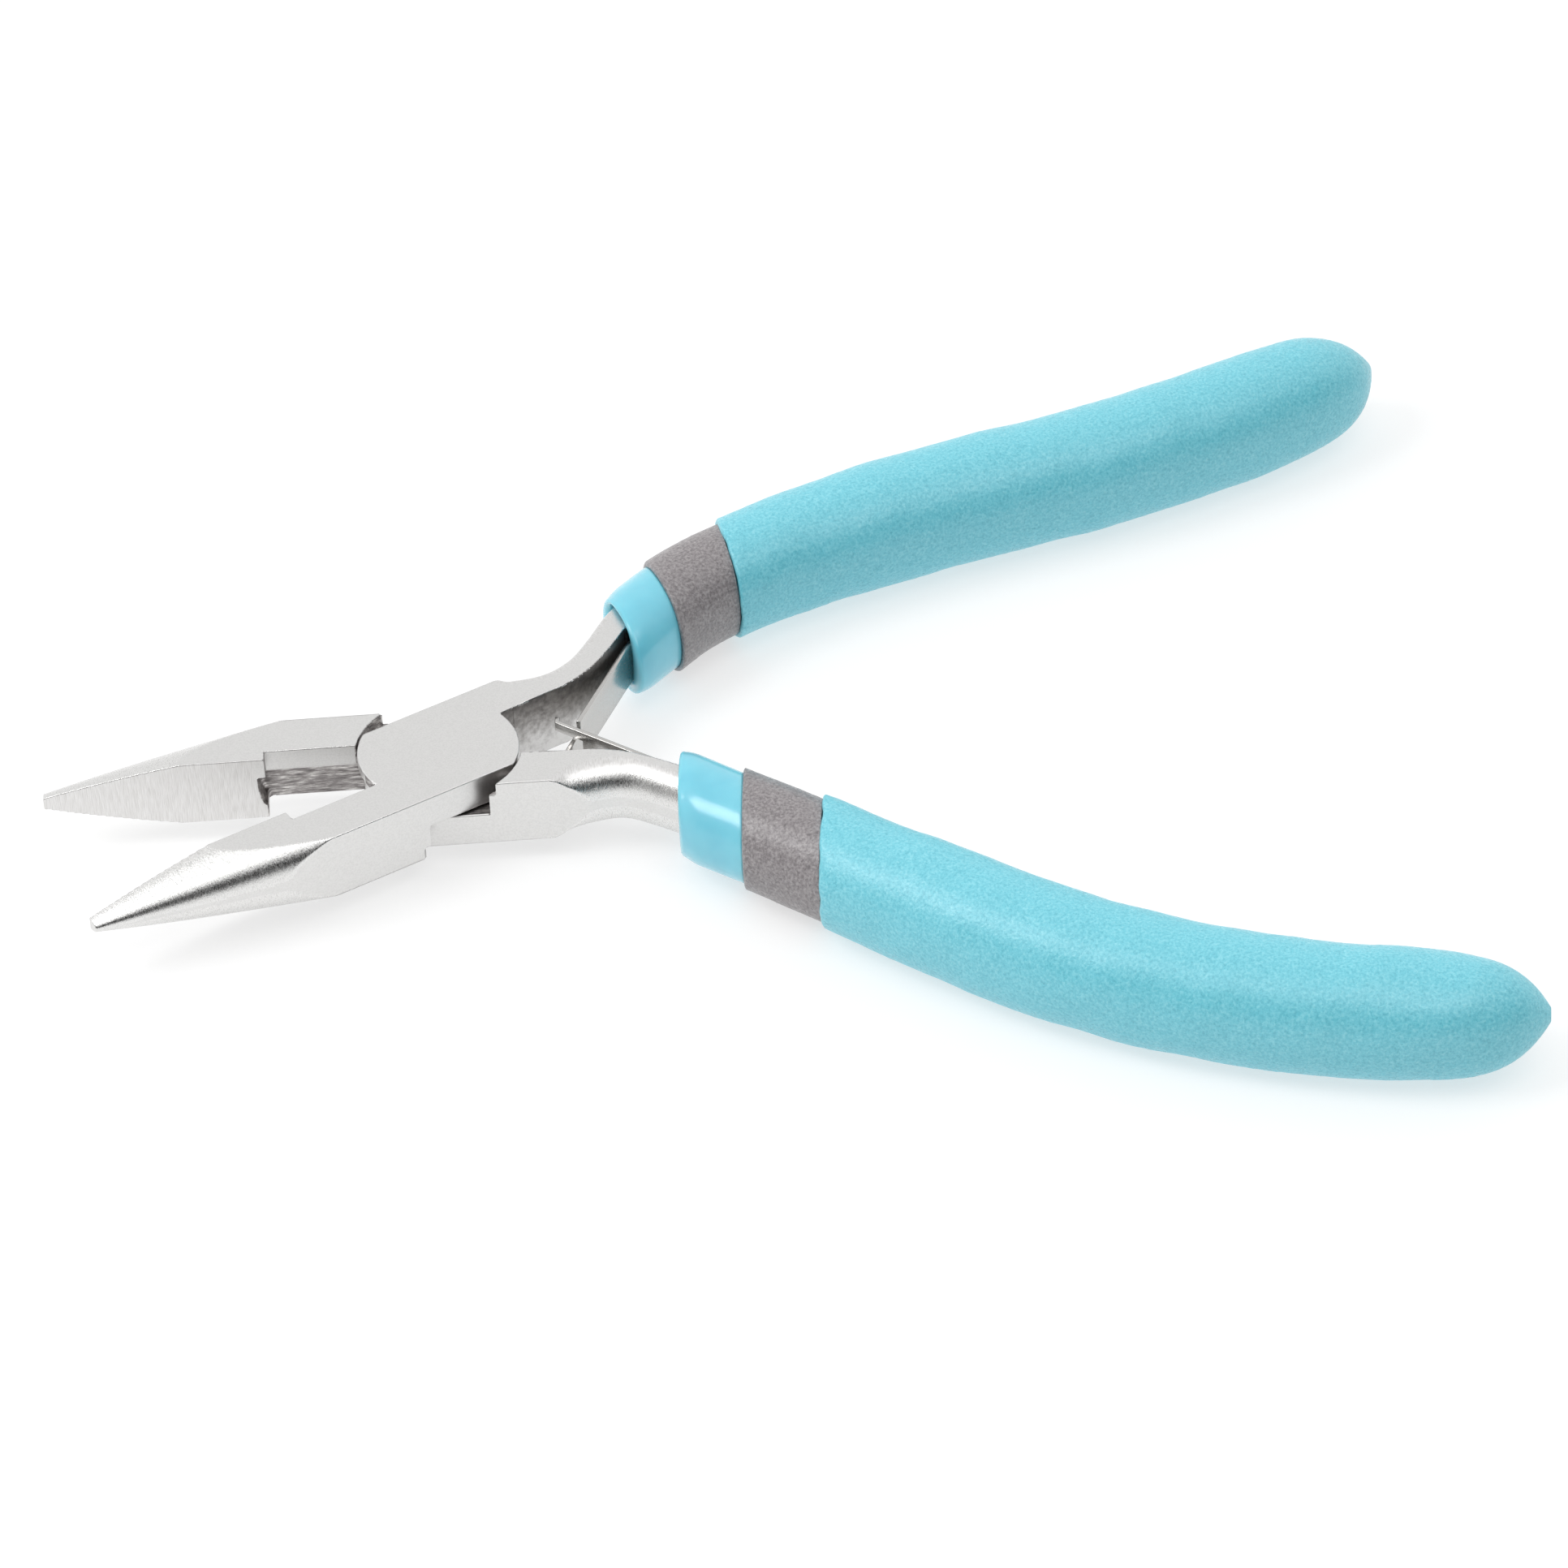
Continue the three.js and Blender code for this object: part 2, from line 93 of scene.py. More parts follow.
# Reliefs behind the gripping faces.
GRIP_REAR_X = -16.2
RELIEF_SETBACK = 1.3
RIDGE_SETBACK = 1.6
RELIEF_LOW_SETBACK = 3.3
RELIEF_RIDGE_Z = 1.25
UNDERCUT_REACH = 0.8
UNDERCUT_RADIUS = 3.2
UNDERCUT_CORNER = 0.5

# Root of each tang, beside the disc.
ROOT_NECK_X = 7.6
ROOT_END_X = 9.2
ROOT_END_SETBACK = 1.45

# Tangs: plan edges, and for each half how far its flank's rounding reaches in, down and up.
TANG_START_X = 8.8
TANG_END_X = 26
TANG_FLAT_SIDE_END_X = 15
TANG_SQUARENESS = 2.1
TANG_WIDEST_ROUNDING = 0.92
TANG_INNER_EDGE = [[7.4, 1.3], [11.7, 1.5], [15, 1.65], [18, 2.5], [21, 4.1], [24, 5.95], [27, 7.4]]
UPPER_TANG_EDGE = [[8.6, 8.4], [9.5, 6.9], [10.4, 5.6], [11.4, 5.1], [14, 4.4], [17, 4.9], [20, 6.6],
                   [23.1, 8.7], [26, 10.2]]
LOWER_TANG_EDGE = [[8.6, 11], [9.9, 8.9], [11.3, 7.0], [12.7, 6.2], [14, 5.8], [17, 5.55], [20, 7.15],
                   [23.1, 9.2], [26, 10.6]]
UPPER_TANG_ROUNDING = (1.5, 0.5, 2.3)
LOWER_TANG_ROUNDING = (3.0, 3.1, 3.1)

# Flat bar that each tang becomes inside its handle, measured along the handle's centre line.
BAR_START = 1.3
BAR_TAPER = 6
BAR_HALF_WIDTH = 1.45
BAR_HALF_HEIGHT = 2.7
BAR_OFFSET = 0.8
BAR_SQUARENESS = 7

# Pivot rivet, headed on the underside and covered on top.
RIVET_RADIUS = 2.2
RIVET_HEAD_RADIUS = 3.1
RIVET_HEAD_DEPTH = 0.9
RIVET_COVER = 0.9
RIVET_BORE_FIT = 0.03
RIVET_SHANK_FIT = 0.02
RIVET_BEVEL = 0.12
RIVET_TIP_BEVEL = (0.2, 0.15)
RIVET_DIMPLE = ((0.5, 0.1), (0.9, 0))

# Handles: centre lines in plan. A band rule is where the grey band starts and how wide it is. A cut
# rule is how much the cuts between sleeve, band and grip slant, and how far from the mouth they hold it.
UPPER_HANDLE = [[24, 7.25], [32.8, 10.05], [43, 10.8], [59, 9.1], [78, 5.4], [93.5, 3.9], [108.4, 3.75]]
LOWER_HANDLE = [[22.1, 6.2], [32.1, 14], [43.7, 23.4], [57.7, 33.4], [71.8, 39.9], [85, 43.2], [97.5, 44.7]]
UPPER_BANDS = (5.8, 8.5)
LOWER_BANDS = (7.15, 8.85)
UPPER_CUT = (0.52, 6)
LOWER_CUT = (0.65, 17)
SLANT_FADE = 30
GRIP_SQUARENESS = 2.2
SLEEVE_RADIUS = 4.6
SLEEVE_NECK_RADIUS = 4.1
SLEEVE_LIP = 0.6
SLEEVE_LIP_FALL = 0.2
SLEEVE_LIP_FADE = 1.6
SLEEVE_END = 8
SLEEVE_END_TAPER = 6
BAND_RADIUS = 5.05
BAND_EDGE = 0.25
BAND_EDGE_DROPS = (0.4, 0.03)
BAND_FRONT_FIT = 0.02
BAND_REAR_FIT = 0.01
NECK_FIT = 0.05
GRIP_RADIUS = 5.85
GRIP_START_RADIUS = 5.5
GRIP_START_EDGE = 0.34
GRIP_SWELL_LENGTH = 20
GRIP_END_TAPER = 3.2
GRIP_NUB = 0.35
CORE_END = 14

# Sleeve pocket: half width, offset and squareness round the bar, round bar and leaf, and at the mouth.
POCKET_ROUND_BAR = (1.8, 0.8, 9)
POCKET_ROUND_LEAF = (2.3, 0.2, 9)
POCKET_MOUTH = (2.4, 0.45, 3.2)
POCKET_HALF_HEIGHTS = (3.0, 3.72)
# Where, behind the mouth, the pocket starts to change its section, and over what length.
POCKET_MOUTH_FADE = (2, 3)
POCKET_LEAF_FADE = (9, 2)
POCKET_HEIGHT_FADE = (0, 6)

# Leaf springs: a strip from a tab inside the sleeve to a finger with a bent lip.
LEAF_THICKNESS = 0.45
LEAF_HALF_HEIGHT = 2.2
LEAF_EDGE = 0.06
LEAF_BEND = [22.8, 4.4]
LEAF_ANGLE = math.radians(37)
LEAF_FULL_LENGTH = 11.6
LEAF_FINGER_LENGTH = 14.6
LEAF_WIDE_FINGER = (-2.2, 0.9)
LEAF_NARROW_FINGER = (-2.2, -1.2)
LEAF_TAB = (8, 2.5)
LEAF_TAB_OFFSET = -1.25
LEAF_LIP = 0.7
LEAF_LIP_TURN = math.radians(60)


# ---- Small helpers ---------------------------------------------------------------------------
def smooth(value):
    """0 to 1 with a gentle start and end."""
    k = np.clip(value, 0, 1)
    return k * k * (3 - 2 * k)


def mix(a, b, k):
    """a at k = 0 and b at k = 1."""
    return a + (b - a) * k


def fade(distance, start, span):
    """1 up to the start and 0 after the span, with a gentle change between."""
    return 1 - smooth((distance - start) / span)


def place(points, lower):
    """Points drawn closed, in millimetres, to metres in the row frame at rest."""
    turn = Matrix.Rotation(OPEN_ANGLE, 3, "Z")
    if lower:
        turn = Matrix.Rotation(math.pi, 3, "X") @ turn
    return (np.asarray(points) @ np.array(turn).T + np.array([0, 0, HALF])) * MM


def facing(directions, lower):
    """Directions drawn closed, turned as place() turns points."""
    flat = place(directions, lower) - place(np.zeros((1, 3)), lower)
    return flat / np.maximum(np.linalg.norm(flat, axis=1, keepdims=True), 1e-12)


def make_mesh(name, drawn, faces, lower, materials, body, replaced=(), smooth_shading=True):
    """A piece from points drawn closed. Every point keeps its drawn place for the materials."""
    mesh = bpy.data.meshes.new(name)
    mesh.from_pydata(place(drawn, lower).tolist(), [], faces)
    mesh.update()
    kept = mesh.attributes.new("drawn", "FLOAT_VECTOR", "POINT")
    kept.data.foreach_set("vector", np.asarray(drawn, np.float32).ravel())
    for material in materials:
        mesh.materials.append(material)
    if smooth_shading:
        mesh.polygons.foreach_set("use_smooth", np.ones(len(mesh.polygons), bool))
    piece = bpy.data.objects.new(name, mesh)
    bpy.context.scene.collection.objects.link(piece)
    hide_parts(*replaced)
    if body:
        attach(piece, body)
    return piece


# ---- Fields: negative inside, in millimetres ---------------------------------------------------
def round_max(a, b, radius):
    """The part inside both fields, with the edge between them rounded."""
    outside = np.hypot(np.maximum(a + radius, 0), np.maximum(b + radius, 0))
    return np.minimum(np.maximum(a, b), -radius) + outside


def cut(body, tool, radius=EDGE):
    """The body without what lies inside the tool."""
    return round_max(body, -tool, radius)


def all_of(fields):
    """The part inside every field, with rounded edges."""
    result = fields[0]
    for field in fields[1:]:
        result = round_max(result, field, EDGE)
    return result


def grown(growth, run):
    """A size that grows along a run, and its slope there."""
    start, rise, bend = growth
    return start + rise * run + bend * run**2, rise + 2 * bend * run


def ogive(x, y, z):
    """The closed pair of jaws: squarish at the joint and oval at the tip."""
    jaw_length = JAW_BEND_X - JAW_TIP_X
    run = np.clip((x - JAW_TIP_X) / jaw_length, -0.1, 1.4)
    half_width, width_rise = grown(JAW_WIDTH_GROWTH, run)
    half_height, height_rise = grown(JAW_HEIGHT_GROWTH, run)
    width_slope = width_rise / jaw_length
    height_slope = height_rise / jaw_length
    squareness = (JAW_ROOT_SQUARENESS - JAW_TIP_SQUARENESS) * np.maximum(run, 0) ** 3
    power = JAW_TIP_SQUARENESS + squareness
    u = np.abs(y) / half_width + 1e-6
    v = np.abs(z) / half_height + 1e-6
    total = u**power + v**power
    reach = total ** (1 / power)
    scale = reach / total
    along_y = scale * u ** (power - 1) / half_width
    along_z = scale * v ** (power - 1) / half_height
    along_x = scale * (u**power * width_slope / half_width + v**power * height_slope / half_height)
    return (reach - 1) / np.sqrt(along_x**2 + along_y**2 + along_z**2)


def straight_relief(x, y, z):
    """A straight strip set back from the gripping face, over the full height."""
    return np.maximum(GRIP_REAR_X - x, -RELIEF_SETBACK - y)


def sloped_relief(x, y, z):
    """A straight strip next to one face, and under its ridge a wall that slopes away."""
    strip = np.maximum(straight_relief(x, y, z), z + RELIEF_RIDGE_Z)
    depth = (z + RELIEF_RIDGE_Z) / (HALF + RELIEF_RIDGE_Z)
    wall = -mix(RIDGE_SETBACK, RELIEF_LOW_SETBACK, depth)
    bulge = np.sqrt(np.clip(1 - ((z + RELIEF_RIDGE_Z) / UNDERCUT_RADIUS) ** 2, 0, 1))
    front = GRIP_REAR_X - UNDERCUT_REACH * bulge
    undercut = np.maximum(round_max(front - x, wall - y, UNDERCUT_CORNER), -RELIEF_RIDGE_Z - z)
    return np.minimum(strip, undercut)


def plate(x, y, z):
    """A half's own disc of the lap joint, wider in a rim along its outer face."""
    radius = np.hypot(x, y)
    rim = np.maximum(radius - DISC_RADIUS, HALF - SHOULDER_STEP_HEIGHT - z)
    disc = np.minimum(radius - (DISC_RADIUS - SHOULDER_STEP), rim)
    return all_of([disc, np.abs(y) - HEAD_HALF_WIDTH, z - HALF, LAP_GAP / 2 - z])


def shoulder_tool(x, y, z):
    """The room for the other half's disc: its shape, a gap larger."""
    radius = np.hypot(x, y)
    rim_radius = DISC_RADIUS + SHOULDER_GAP
    lap = np.maximum(radius - (rim_radius - SHOULDER_STEP), z - LAP_GAP / 2)
    step_top = -HALF + SHOULDER_STEP_HEIGHT + SHOULDER_GAP
    return np.minimum(lap, np.maximum(radius - rim_radius, z - step_top))


def convex_plan(x, y, corners):
    """Distance to a convex outline given counterclockwise."""
    result = None
    for (x0, y0), (x1, y1) in zip(corners, corners[1:] + corners[:1]):
        length = math.hypot(x1 - x0, y1 - y0)
        side = ((x - x0) * (y1 - y0) - (y - y0) * (x1 - x0)) / length
        result = side if result is None else np.maximum(result, side)
    return result


def edge_curve(points):
    """A smooth curve y(x) through plan points, with its slope."""
    xs, ys = np.array(points, float).T
    slopes = np.gradient(ys, xs)
    fine = np.linspace(xs[0], xs[-1], 200)
    i = np.clip(np.searchsorted(xs, fine, side="right") - 1, 0, len(xs) - 2)
    span = xs[i + 1] - xs[i]
    t = (fine - xs[i]) / span
    h = [2 * t**3 - 3 * t**2 + 1, t**3 - 2 * t**2 + t, -2 * t**3 + 3 * t**2, t**3 - t**2]
    values = h[0] * ys[i] + h[1] * span * slopes[i] + h[2] * ys[i + 1] + h[3] * span * slopes[i + 1]
    steep = np.gradient(values, fine)
    return lambda x: (np.interp(x, fine, values), np.interp(x, fine, steep))


inner_edge = edge_curve(TANG_INNER_EDGE)
UPPER_TANG = (edge_curve(UPPER_TANG_EDGE), *UPPER_TANG_ROUNDING)
LOWER_TANG = (edge_curve(LOWER_TANG_EDGE), *LOWER_TANG_ROUNDING)


def tang(x, y, z, shape):
    """Square along its inner edge. Its rounded outer flank is cut flat where it meets the head's side."""
    outer_edge, reach_in, reach_from_top, reach_from_bottom = shape
    inner, inner_slope = inner_edge(x)
    outer, outer_slope = outer_edge(x)
    inside = (inner - y) / np.sqrt(1 + inner_slope**2)
    outside = (y - outer) / np.sqrt(1 + outer_slope**2)
    widest = (outer - inner) * TANG_WIDEST_ROUNDING
    across = np.minimum(widest, reach_in) / np.sqrt(1 + outer_slope**2)
    down = np.where(z > 0, reach_from_top, reach_from_bottom)
    cap = np.abs(z) - HALF
    u = np.maximum(outside + across, 0) / across
    v = np.maximum(cap + down, 0) / down
    total = u**TANG_SQUARENESS + v**TANG_SQUARENESS + 1e-9
    reach = total ** (1 / TANG_SQUARENESS)
    steep = np.hypot(u ** (TANG_SQUARENESS - 1) / across, v ** (TANG_SQUARENESS - 1) / down) + 1e-9
    corner = (reach - 1) * total / (reach * steep)
    flank = np.where((u > 0) & (v > 0), corner, np.maximum(outside, cap))
    flat_side = np.minimum(y - HEAD_HALF_WIDTH, TANG_FLAT_SIDE_END_X - x)
    return all_of([flank, flat_side, inside, TANG_START_X - x, x - TANG_END_X])


def rivet_bore(x, y, z, lower):
    """Through the lower half with a recess for the head, and blind in the upper half."""
    radius = np.hypot(x, y)
    shank = radius - RIVET_RADIUS
    if lower:
        recess_top = HALF - RIVET_HEAD_DEPTH - RIVET_BORE_FIT - z
        return np.minimum(shank, np.maximum(radius - RIVET_HEAD_RADIUS - RIVET_BORE_FIT, recess_top))
    return np.maximum(shank, z - HALF + RIVET_COVER)


def steel_field(x, y, z, relief, lower):
    """One steel half: jaw, root, tang and disc together, less the other disc's shoulder and the bore."""
    cap = np.abs(z) - HALF
    gripping_face = y + JAW_GAP / 2
    jaw = all_of([ogive(x, y, z), -HEAD_HALF_WIDTH - y, cap, gripping_face, JAW_TIP_X - x, x - JAW_END_X])
    jaw = cut(jaw, relief(x, y, z))
    root_plan = [(0, RELIEF_SETBACK), (ROOT_NECK_X, RELIEF_SETBACK), (ROOT_END_X, ROOT_END_SETBACK),
                 (ROOT_END_X, HEAD_HALF_WIDTH), (0, HEAD_HALF_WIDTH)]
    root = round_max(convex_plan(x, y, root_plan), cap, EDGE)
    body = np.minimum(np.minimum(jaw, root), tang(x, y, z, LOWER_TANG if lower else UPPER_TANG))
    body = cut(body, shoulder_tool(x, y, z))
    body = np.minimum(body, plate(x, y, z))
    return cut(body, rivet_bore(x, y, z, lower), RIVET_BORE_FIT)


def surface_net(field, low, high, cell):
    """The surface of a field as quads: one point in each grid cell that it crosses, moved onto it."""
    axes = [np.arange(a, b + cell, cell) for a, b in zip(low, high)]
    values = field(*np.meshgrid(*axes, indexing="ij")).astype(np.float32)
    inside = values < 0
    cells = tuple(n - 1 for n in values.shape)
    total = np.zeros(cells + (3,), np.float32)
    count = np.zeros(cells, np.int32)
    crossings = []
    for axis in range(3):
        first = [slice(None)] * 3
        second = [slice(None)] * 3
        first[axis] = slice(0, -1)
        second[axis] = slice(1, None)
        first, second = tuple(first), tuple(second)
        crossed = np.argwhere(inside[first] != inside[second])
        here = tuple(crossed.T)
        there = crossed.copy()
        there[:, axis] += 1
        a, b = values[here], values[tuple(there.T)]
        points = crossed.astype(np.float32)
        points[:, axis] += a / (a - b)
        others = [k for k in range(3) if k != axis]
        around = []
        for du, dv in ((0, 0), (-1, 0), (-1, -1), (0, -1)):
            corner = crossed.copy()
            corner[:, others[0]] += du
            corner[:, others[1]] += dv
            around.append(corner)
            np.add.at(total, tuple(corner.T), points)
            np.add.at(count, tuple(corner.T), 1)
        crossings.append((axis, inside[here], around))
    ids = np.full(cells, -1, np.int64)
    used = count > 0
    ids[used] = np.arange(used.sum())
    points = np.array(low) + cell * total[used] / count[used][:, None]
    quads = []
    for axis, first_inside, around in crossings:
        loop = np.stack([ids[tuple(corner.T)] for corner in around], 1)
        outward = first_inside if axis != 1 else ~first_inside
        loop[~outward] = loop[~outward][:, ::-1]
        quads.append(loop)
    return onto_surface(field, points, cell), np.concatenate(quads)


def gradient(field, points, step):
    """How fast the field rises along each axis, from small steps to both sides."""
    return np.stack([
        (field(*(points + offset).T) - field(*(points - offset).T)) / (2 * step)
        for offset in np.eye(3) * step
    ], 1)


def onto_surface(field, points, cell, rounds=4):
    """Newton steps along the field's own gradient."""
    step = cell * 0.05
    for _ in range(rounds):
        value = field(*points.T)
        slope = gradient(field, points, step)
        size = np.maximum((slope**2).sum(1), 0.25)
        move = -slope * (value / size)[:, None]
        length = np.linalg.norm(move, axis=1, keepdims=True)
        points = points + move * np.minimum(1, 0.5 * cell / np.maximum(length, 1e-9))
    return points


# ---- Handle centre lines -----------------------------------------------------------------------
class Line:
    """A handle's centre line: a smooth curve through plan points, measured from the sleeve's mouth."""

    STEPS = 80

    def __init__(self, points, cut_rule):
        plan = np.array(points, float)
        first = 2 * plan[0] - plan[1]
        last = 2 * plan[-1] - plan[-2]
        padded = np.vstack([first, plan, last])
        fine = []
        for p0, p1, p2, p3 in zip(padded, padded[1:], padded[2:], padded[3:]):
            d0, d1, d2 = (math.sqrt(np.linalg.norm(b - a)) for a, b in ((p0, p1), (p1, p2), (p2, p3)))
            t1 = ((p1 - p0) / d0 - (p2 - p0) / (d0 + d1) + (p2 - p1) / d1) * d1
            t2 = ((p2 - p1) / d1 - (p3 - p1) / (d1 + d2) + (p3 - p2) / d2) * d1
            t = np.linspace(0, 1, self.STEPS, endpoint=False)[:, None]
            fine.append((2 * t**3 - 3 * t**2 + 1) * p1 + (t**3 - 2 * t**2 + t) * t1
                        + (-2 * t**3 + 3 * t**2) * p2 + (t**3 - t**2) * t2)
        fine = np.vstack(fine + [plan[-1:]])
        self.plan = fine
        self.reach = np.concatenate([[0], np.cumsum(np.linalg.norm(np.diff(fine, axis=0), axis=1))])
        self.length = self.reach[-1]
        tangent = np.gradient(fine, self.reach, axis=0)
        self.tangent = tangent / np.linalg.norm(tangent, axis=1, keepdims=True)
        self.slant, self.hold = cut_rule

    def along(self, distance):
        """Points and outward directions at these distances, running straight on past both ends."""
        inside = np.clip(distance, 0, self.length)
        point = np.stack([np.interp(inside, self.reach, self.plan[:, k]) for k in range(2)], -1)
        tangent = np.stack([np.interp(inside, self.reach, self.tangent[:, k]) for k in range(2)], -1)
        point = point + tangent * (distance - inside)[..., None]
        outward = np.stack([-tangent[..., 1], tangent[..., 0]], -1)
        return point, outward

    def lean(self, distance):
        """How far a cut across the handle runs ahead for each millimetre outwards."""
        return self.slant * fade(distance, self.hold, SLANT_FADE)

    def rings(self, distances, half_width, half_height, offset, power, around, push=None):
        """Rings of points round the line. push(distance, angle) gives extra distance along and out."""
        angle = np.arange(around) / around * 2 * math.pi
        distances, half_width, half_height, offset, power = (
            np.broadcast_to(np.asarray(value, float), np.shape(distances))[:, None]
            for value in (distances, half_width, half_height, offset, power)
        )
        cos = np.sign(np.cos(angle)) * np.abs(np.cos(angle)) ** (2 / power)
        sin = np.sign(np.sin(angle)) * np.abs(np.sin(angle)) ** (2 / power)
        along, out = push(distances, angle) if push else (0, 0)
        side = (half_width + out) * cos + offset
        height = (half_height + out) * sin
        at = distances + self.lean(distances) * side + along
        point, outward = self.along(at)
        plan = point + outward * side[..., None]
        return np.concatenate([plan, height[..., None]], -1)


def skin(rings, closed_loop=False):
    """Quads between rings of points; a fan closes each end unless the rings close on themselves."""
    count, around = rings.shape[:2]
    points = rings.reshape(-1, 3)
    faces = []
    last = count if closed_loop else count - 1
    for i in range(last):
        for j in range(around):
            a = i * around + j
            b = i * around + (j + 1) % around
            c = ((i + 1) % count) * around + (j + 1) % around
            d = ((i + 1) % count) * around + j
            faces.append((a, b, c, d))
    if not closed_loop:
        points = np.vstack([points, rings[0].mean(0), rings[-1].mean(0)])
        hub = count * around
        for j in range(around):
            following = (j + 1) % around
            faces.append((hub, following, j))
            end = (count - 1) * around
            faces.append((hub + 1, end + j, end + following))
    return points, faces


# ---- Materials: patterns are in millimetres of the drawn position, kept on every point ----------
RANGE_INPUTS = ("From Min", "From Max", "To Min", "To Max")


class Look:
    """A Principled material with short calls for the nodes that the finishes share."""

    def __init__(self, name, color, roughness, metallic=0.0):
        self.material = bpy.data.materials.new(name)
        self.material.use_nodes = True
        self.nodes = self.material.node_tree.nodes
        self.links = self.material.node_tree.links
        self.shader = self.nodes["Principled BSDF"]
        self.shader.inputs["Base Color"].default_value = (*color, 1)
        self.shader.inputs["Roughness"].default_value = roughness
        self.shader.inputs["Metallic"].default_value = metallic
        self.place = self.nodes.new("ShaderNodeAttribute")
        self.place.attribute_name = "drawn"
        self.normal = None

    def noise(self, scale, detail=3.0, stretch=(1, 1, 1), roughness=0.55):
        """Cloudy noise, with its scale per millimetre."""
        mapping = self.nodes.new("ShaderNodeMapping")
        mapping.inputs["Scale"].default_value = stretch
        self.links.new(self.place.outputs["Vector"], mapping.inputs["Vector"])
        noise = self.nodes.new("ShaderNodeTexNoise")
        noise.inputs["Scale"].default_value = scale
        noise.inputs["Detail"].default_value = detail
        noise.inputs["Roughness"].default_value = roughness
        self.links.new(mapping.outputs["Vector"], noise.inputs["Vector"])
        return noise.outputs["Fac"]

    def pits(self, scale):
        """Cells with a low middle each, with their scale per millimetre."""
        cells = self.nodes.new("ShaderNodeTexVoronoi")
        cells.inputs["Scale"].default_value = scale
        self.links.new(self.place.outputs["Vector"], cells.inputs["Vector"])
        return cells.outputs["Distance"]

    def spread(self, value, low, high, to_low, to_high):
        """The value moved from one range to another, and held at the ends."""
        ranged = self.nodes.new("ShaderNodeMapRange")
        for name, number in zip(RANGE_INPUTS, (low, high, to_low, to_high)):
            ranged.inputs[name].default_value = number
        self.links.new(value, ranged.inputs["Value"])
        return ranged.outputs["Result"]

    def height(self):
        """The drawn height over the mid plane, in millimetres."""
        split = self.nodes.new("ShaderNodeSeparateXYZ")
        self.links.new(self.place.outputs["Vector"], split.inputs["Vector"])
        return split.outputs["Z"]

    def minus(self, a, b):
        """The first value less the second."""
        difference = self.nodes.new("ShaderNodeMath")
        difference.operation = "SUBTRACT"
        self.links.new(a, difference.inputs[0])
        self.links.new(b, difference.inputs[1])
        return difference.outputs["Value"]

    def colors(self, value, stops):
        """Colours the surface by the value, from stops of (position, colour)."""
        ramp = self.nodes.new("ShaderNodeValToRGB")
        elements = ramp.color_ramp.elements
        while len(elements) < len(stops):
            elements.new(0.5)
        for element, (position, color) in zip(elements, stops):
            element.position = position
            element.color = (*color, 1)
        self.links.new(value, ramp.inputs["Fac"])
        self.links.new(ramp.outputs["Color"], self.shader.inputs["Base Color"])

    def rough(self, value, low, high, to_low, to_high):
        """Sets the roughness by the value."""
        self.links.new(self.spread(value, low, high, to_low, to_high), self.shader.inputs["Roughness"])

    def bump(self, value, depth_mm, strength=1.0):
        """Adds relief on top of what earlier calls gave."""
        bump = self.nodes.new("ShaderNodeBump")
        bump.inputs["Strength"].default_value = strength
        bump.inputs["Distance"].default_value = depth_mm * MM
        self.links.new(value, bump.inputs["Height"])
        if self.normal:
            self.links.new(self.normal, bump.inputs["Normal"])
        self.normal = bump.outputs["Normal"]
        self.links.new(self.normal, self.shader.inputs["Normal"])


STEEL = (0.765, 0.76, 0.75)
POLISHED_STEEL = (0.80, 0.795, 0.785)


def satin_steel():
    """The flat faces: a fine grain along the tool."""
    look = Look("steel_satin", STEEL, 0.34, 1)
    grain = look.noise(2.2, stretch=(1.2, 9, 9))
    look.rough(grain, 0.3, 0.7, 0.32, 0.40)
    look.bump(grain, 0.004, 0.5)
    speck = look.noise(6, 3)
    look.colors(speck, [(0.3, (0.70, 0.695, 0.685)), (0.6, STEEL)])
    return look.material


def polished_steel():
    """The rounded flanks: bright, with short strokes across them."""
    look = Look("steel_polished", POLISHED_STEEL, 0.2, 1)
    strokes = look.noise(4.2, 4, stretch=(2.4, 0.7, 0.7), roughness=0.75)
    look.rough(strokes, 0.3, 0.7, 0.16, 0.34)
    look.bump(strokes, 0.034)
    look.colors(strokes, [(0.34, (0.62, 0.615, 0.605)), (0.5, POLISHED_STEEL)])
    return look.material


def ground_steel():
    """The gripping faces and the tops of the tangs: straight grinding strokes."""
    look = Look("steel_ground", STEEL, 0.36, 1)
    strokes = look.noise(2.4, 4, stretch=(7, 1, 0.3))
    look.rough(strokes, 0.3, 0.7, 0.3, 0.44)
    look.bump(strokes, 0.009, 0.7)
    look.colors(strokes, [
        (0.25, (0.58, 0.57, 0.555)),
        (0.45, (0.72, 0.71, 0.70)),
        (0.7, (0.85, 0.845, 0.84)),
    ])
    return look.material


def recess_steel():
    """The walls behind the gripping faces and round the joint: rough, dark and streaked."""
    look = Look("steel_recess", (0.4, 0.38, 0.37), 0.42, 1)
    mottle = look.noise(1.3, 6, stretch=(0.4, 1, 2.2), roughness=0.7)
    look.colors(mottle, [
        (0.32, (0.12, 0.11, 0.11)),
        (0.5, (0.30, 0.28, 0.275)),
        (0.66, (0.74, 0.72, 0.70)),
    ])
    look.rough(mottle, 0.35, 0.65, 0.5, 0.25)
    look.bump(mottle, 0.07, 0.9)
    return look.material


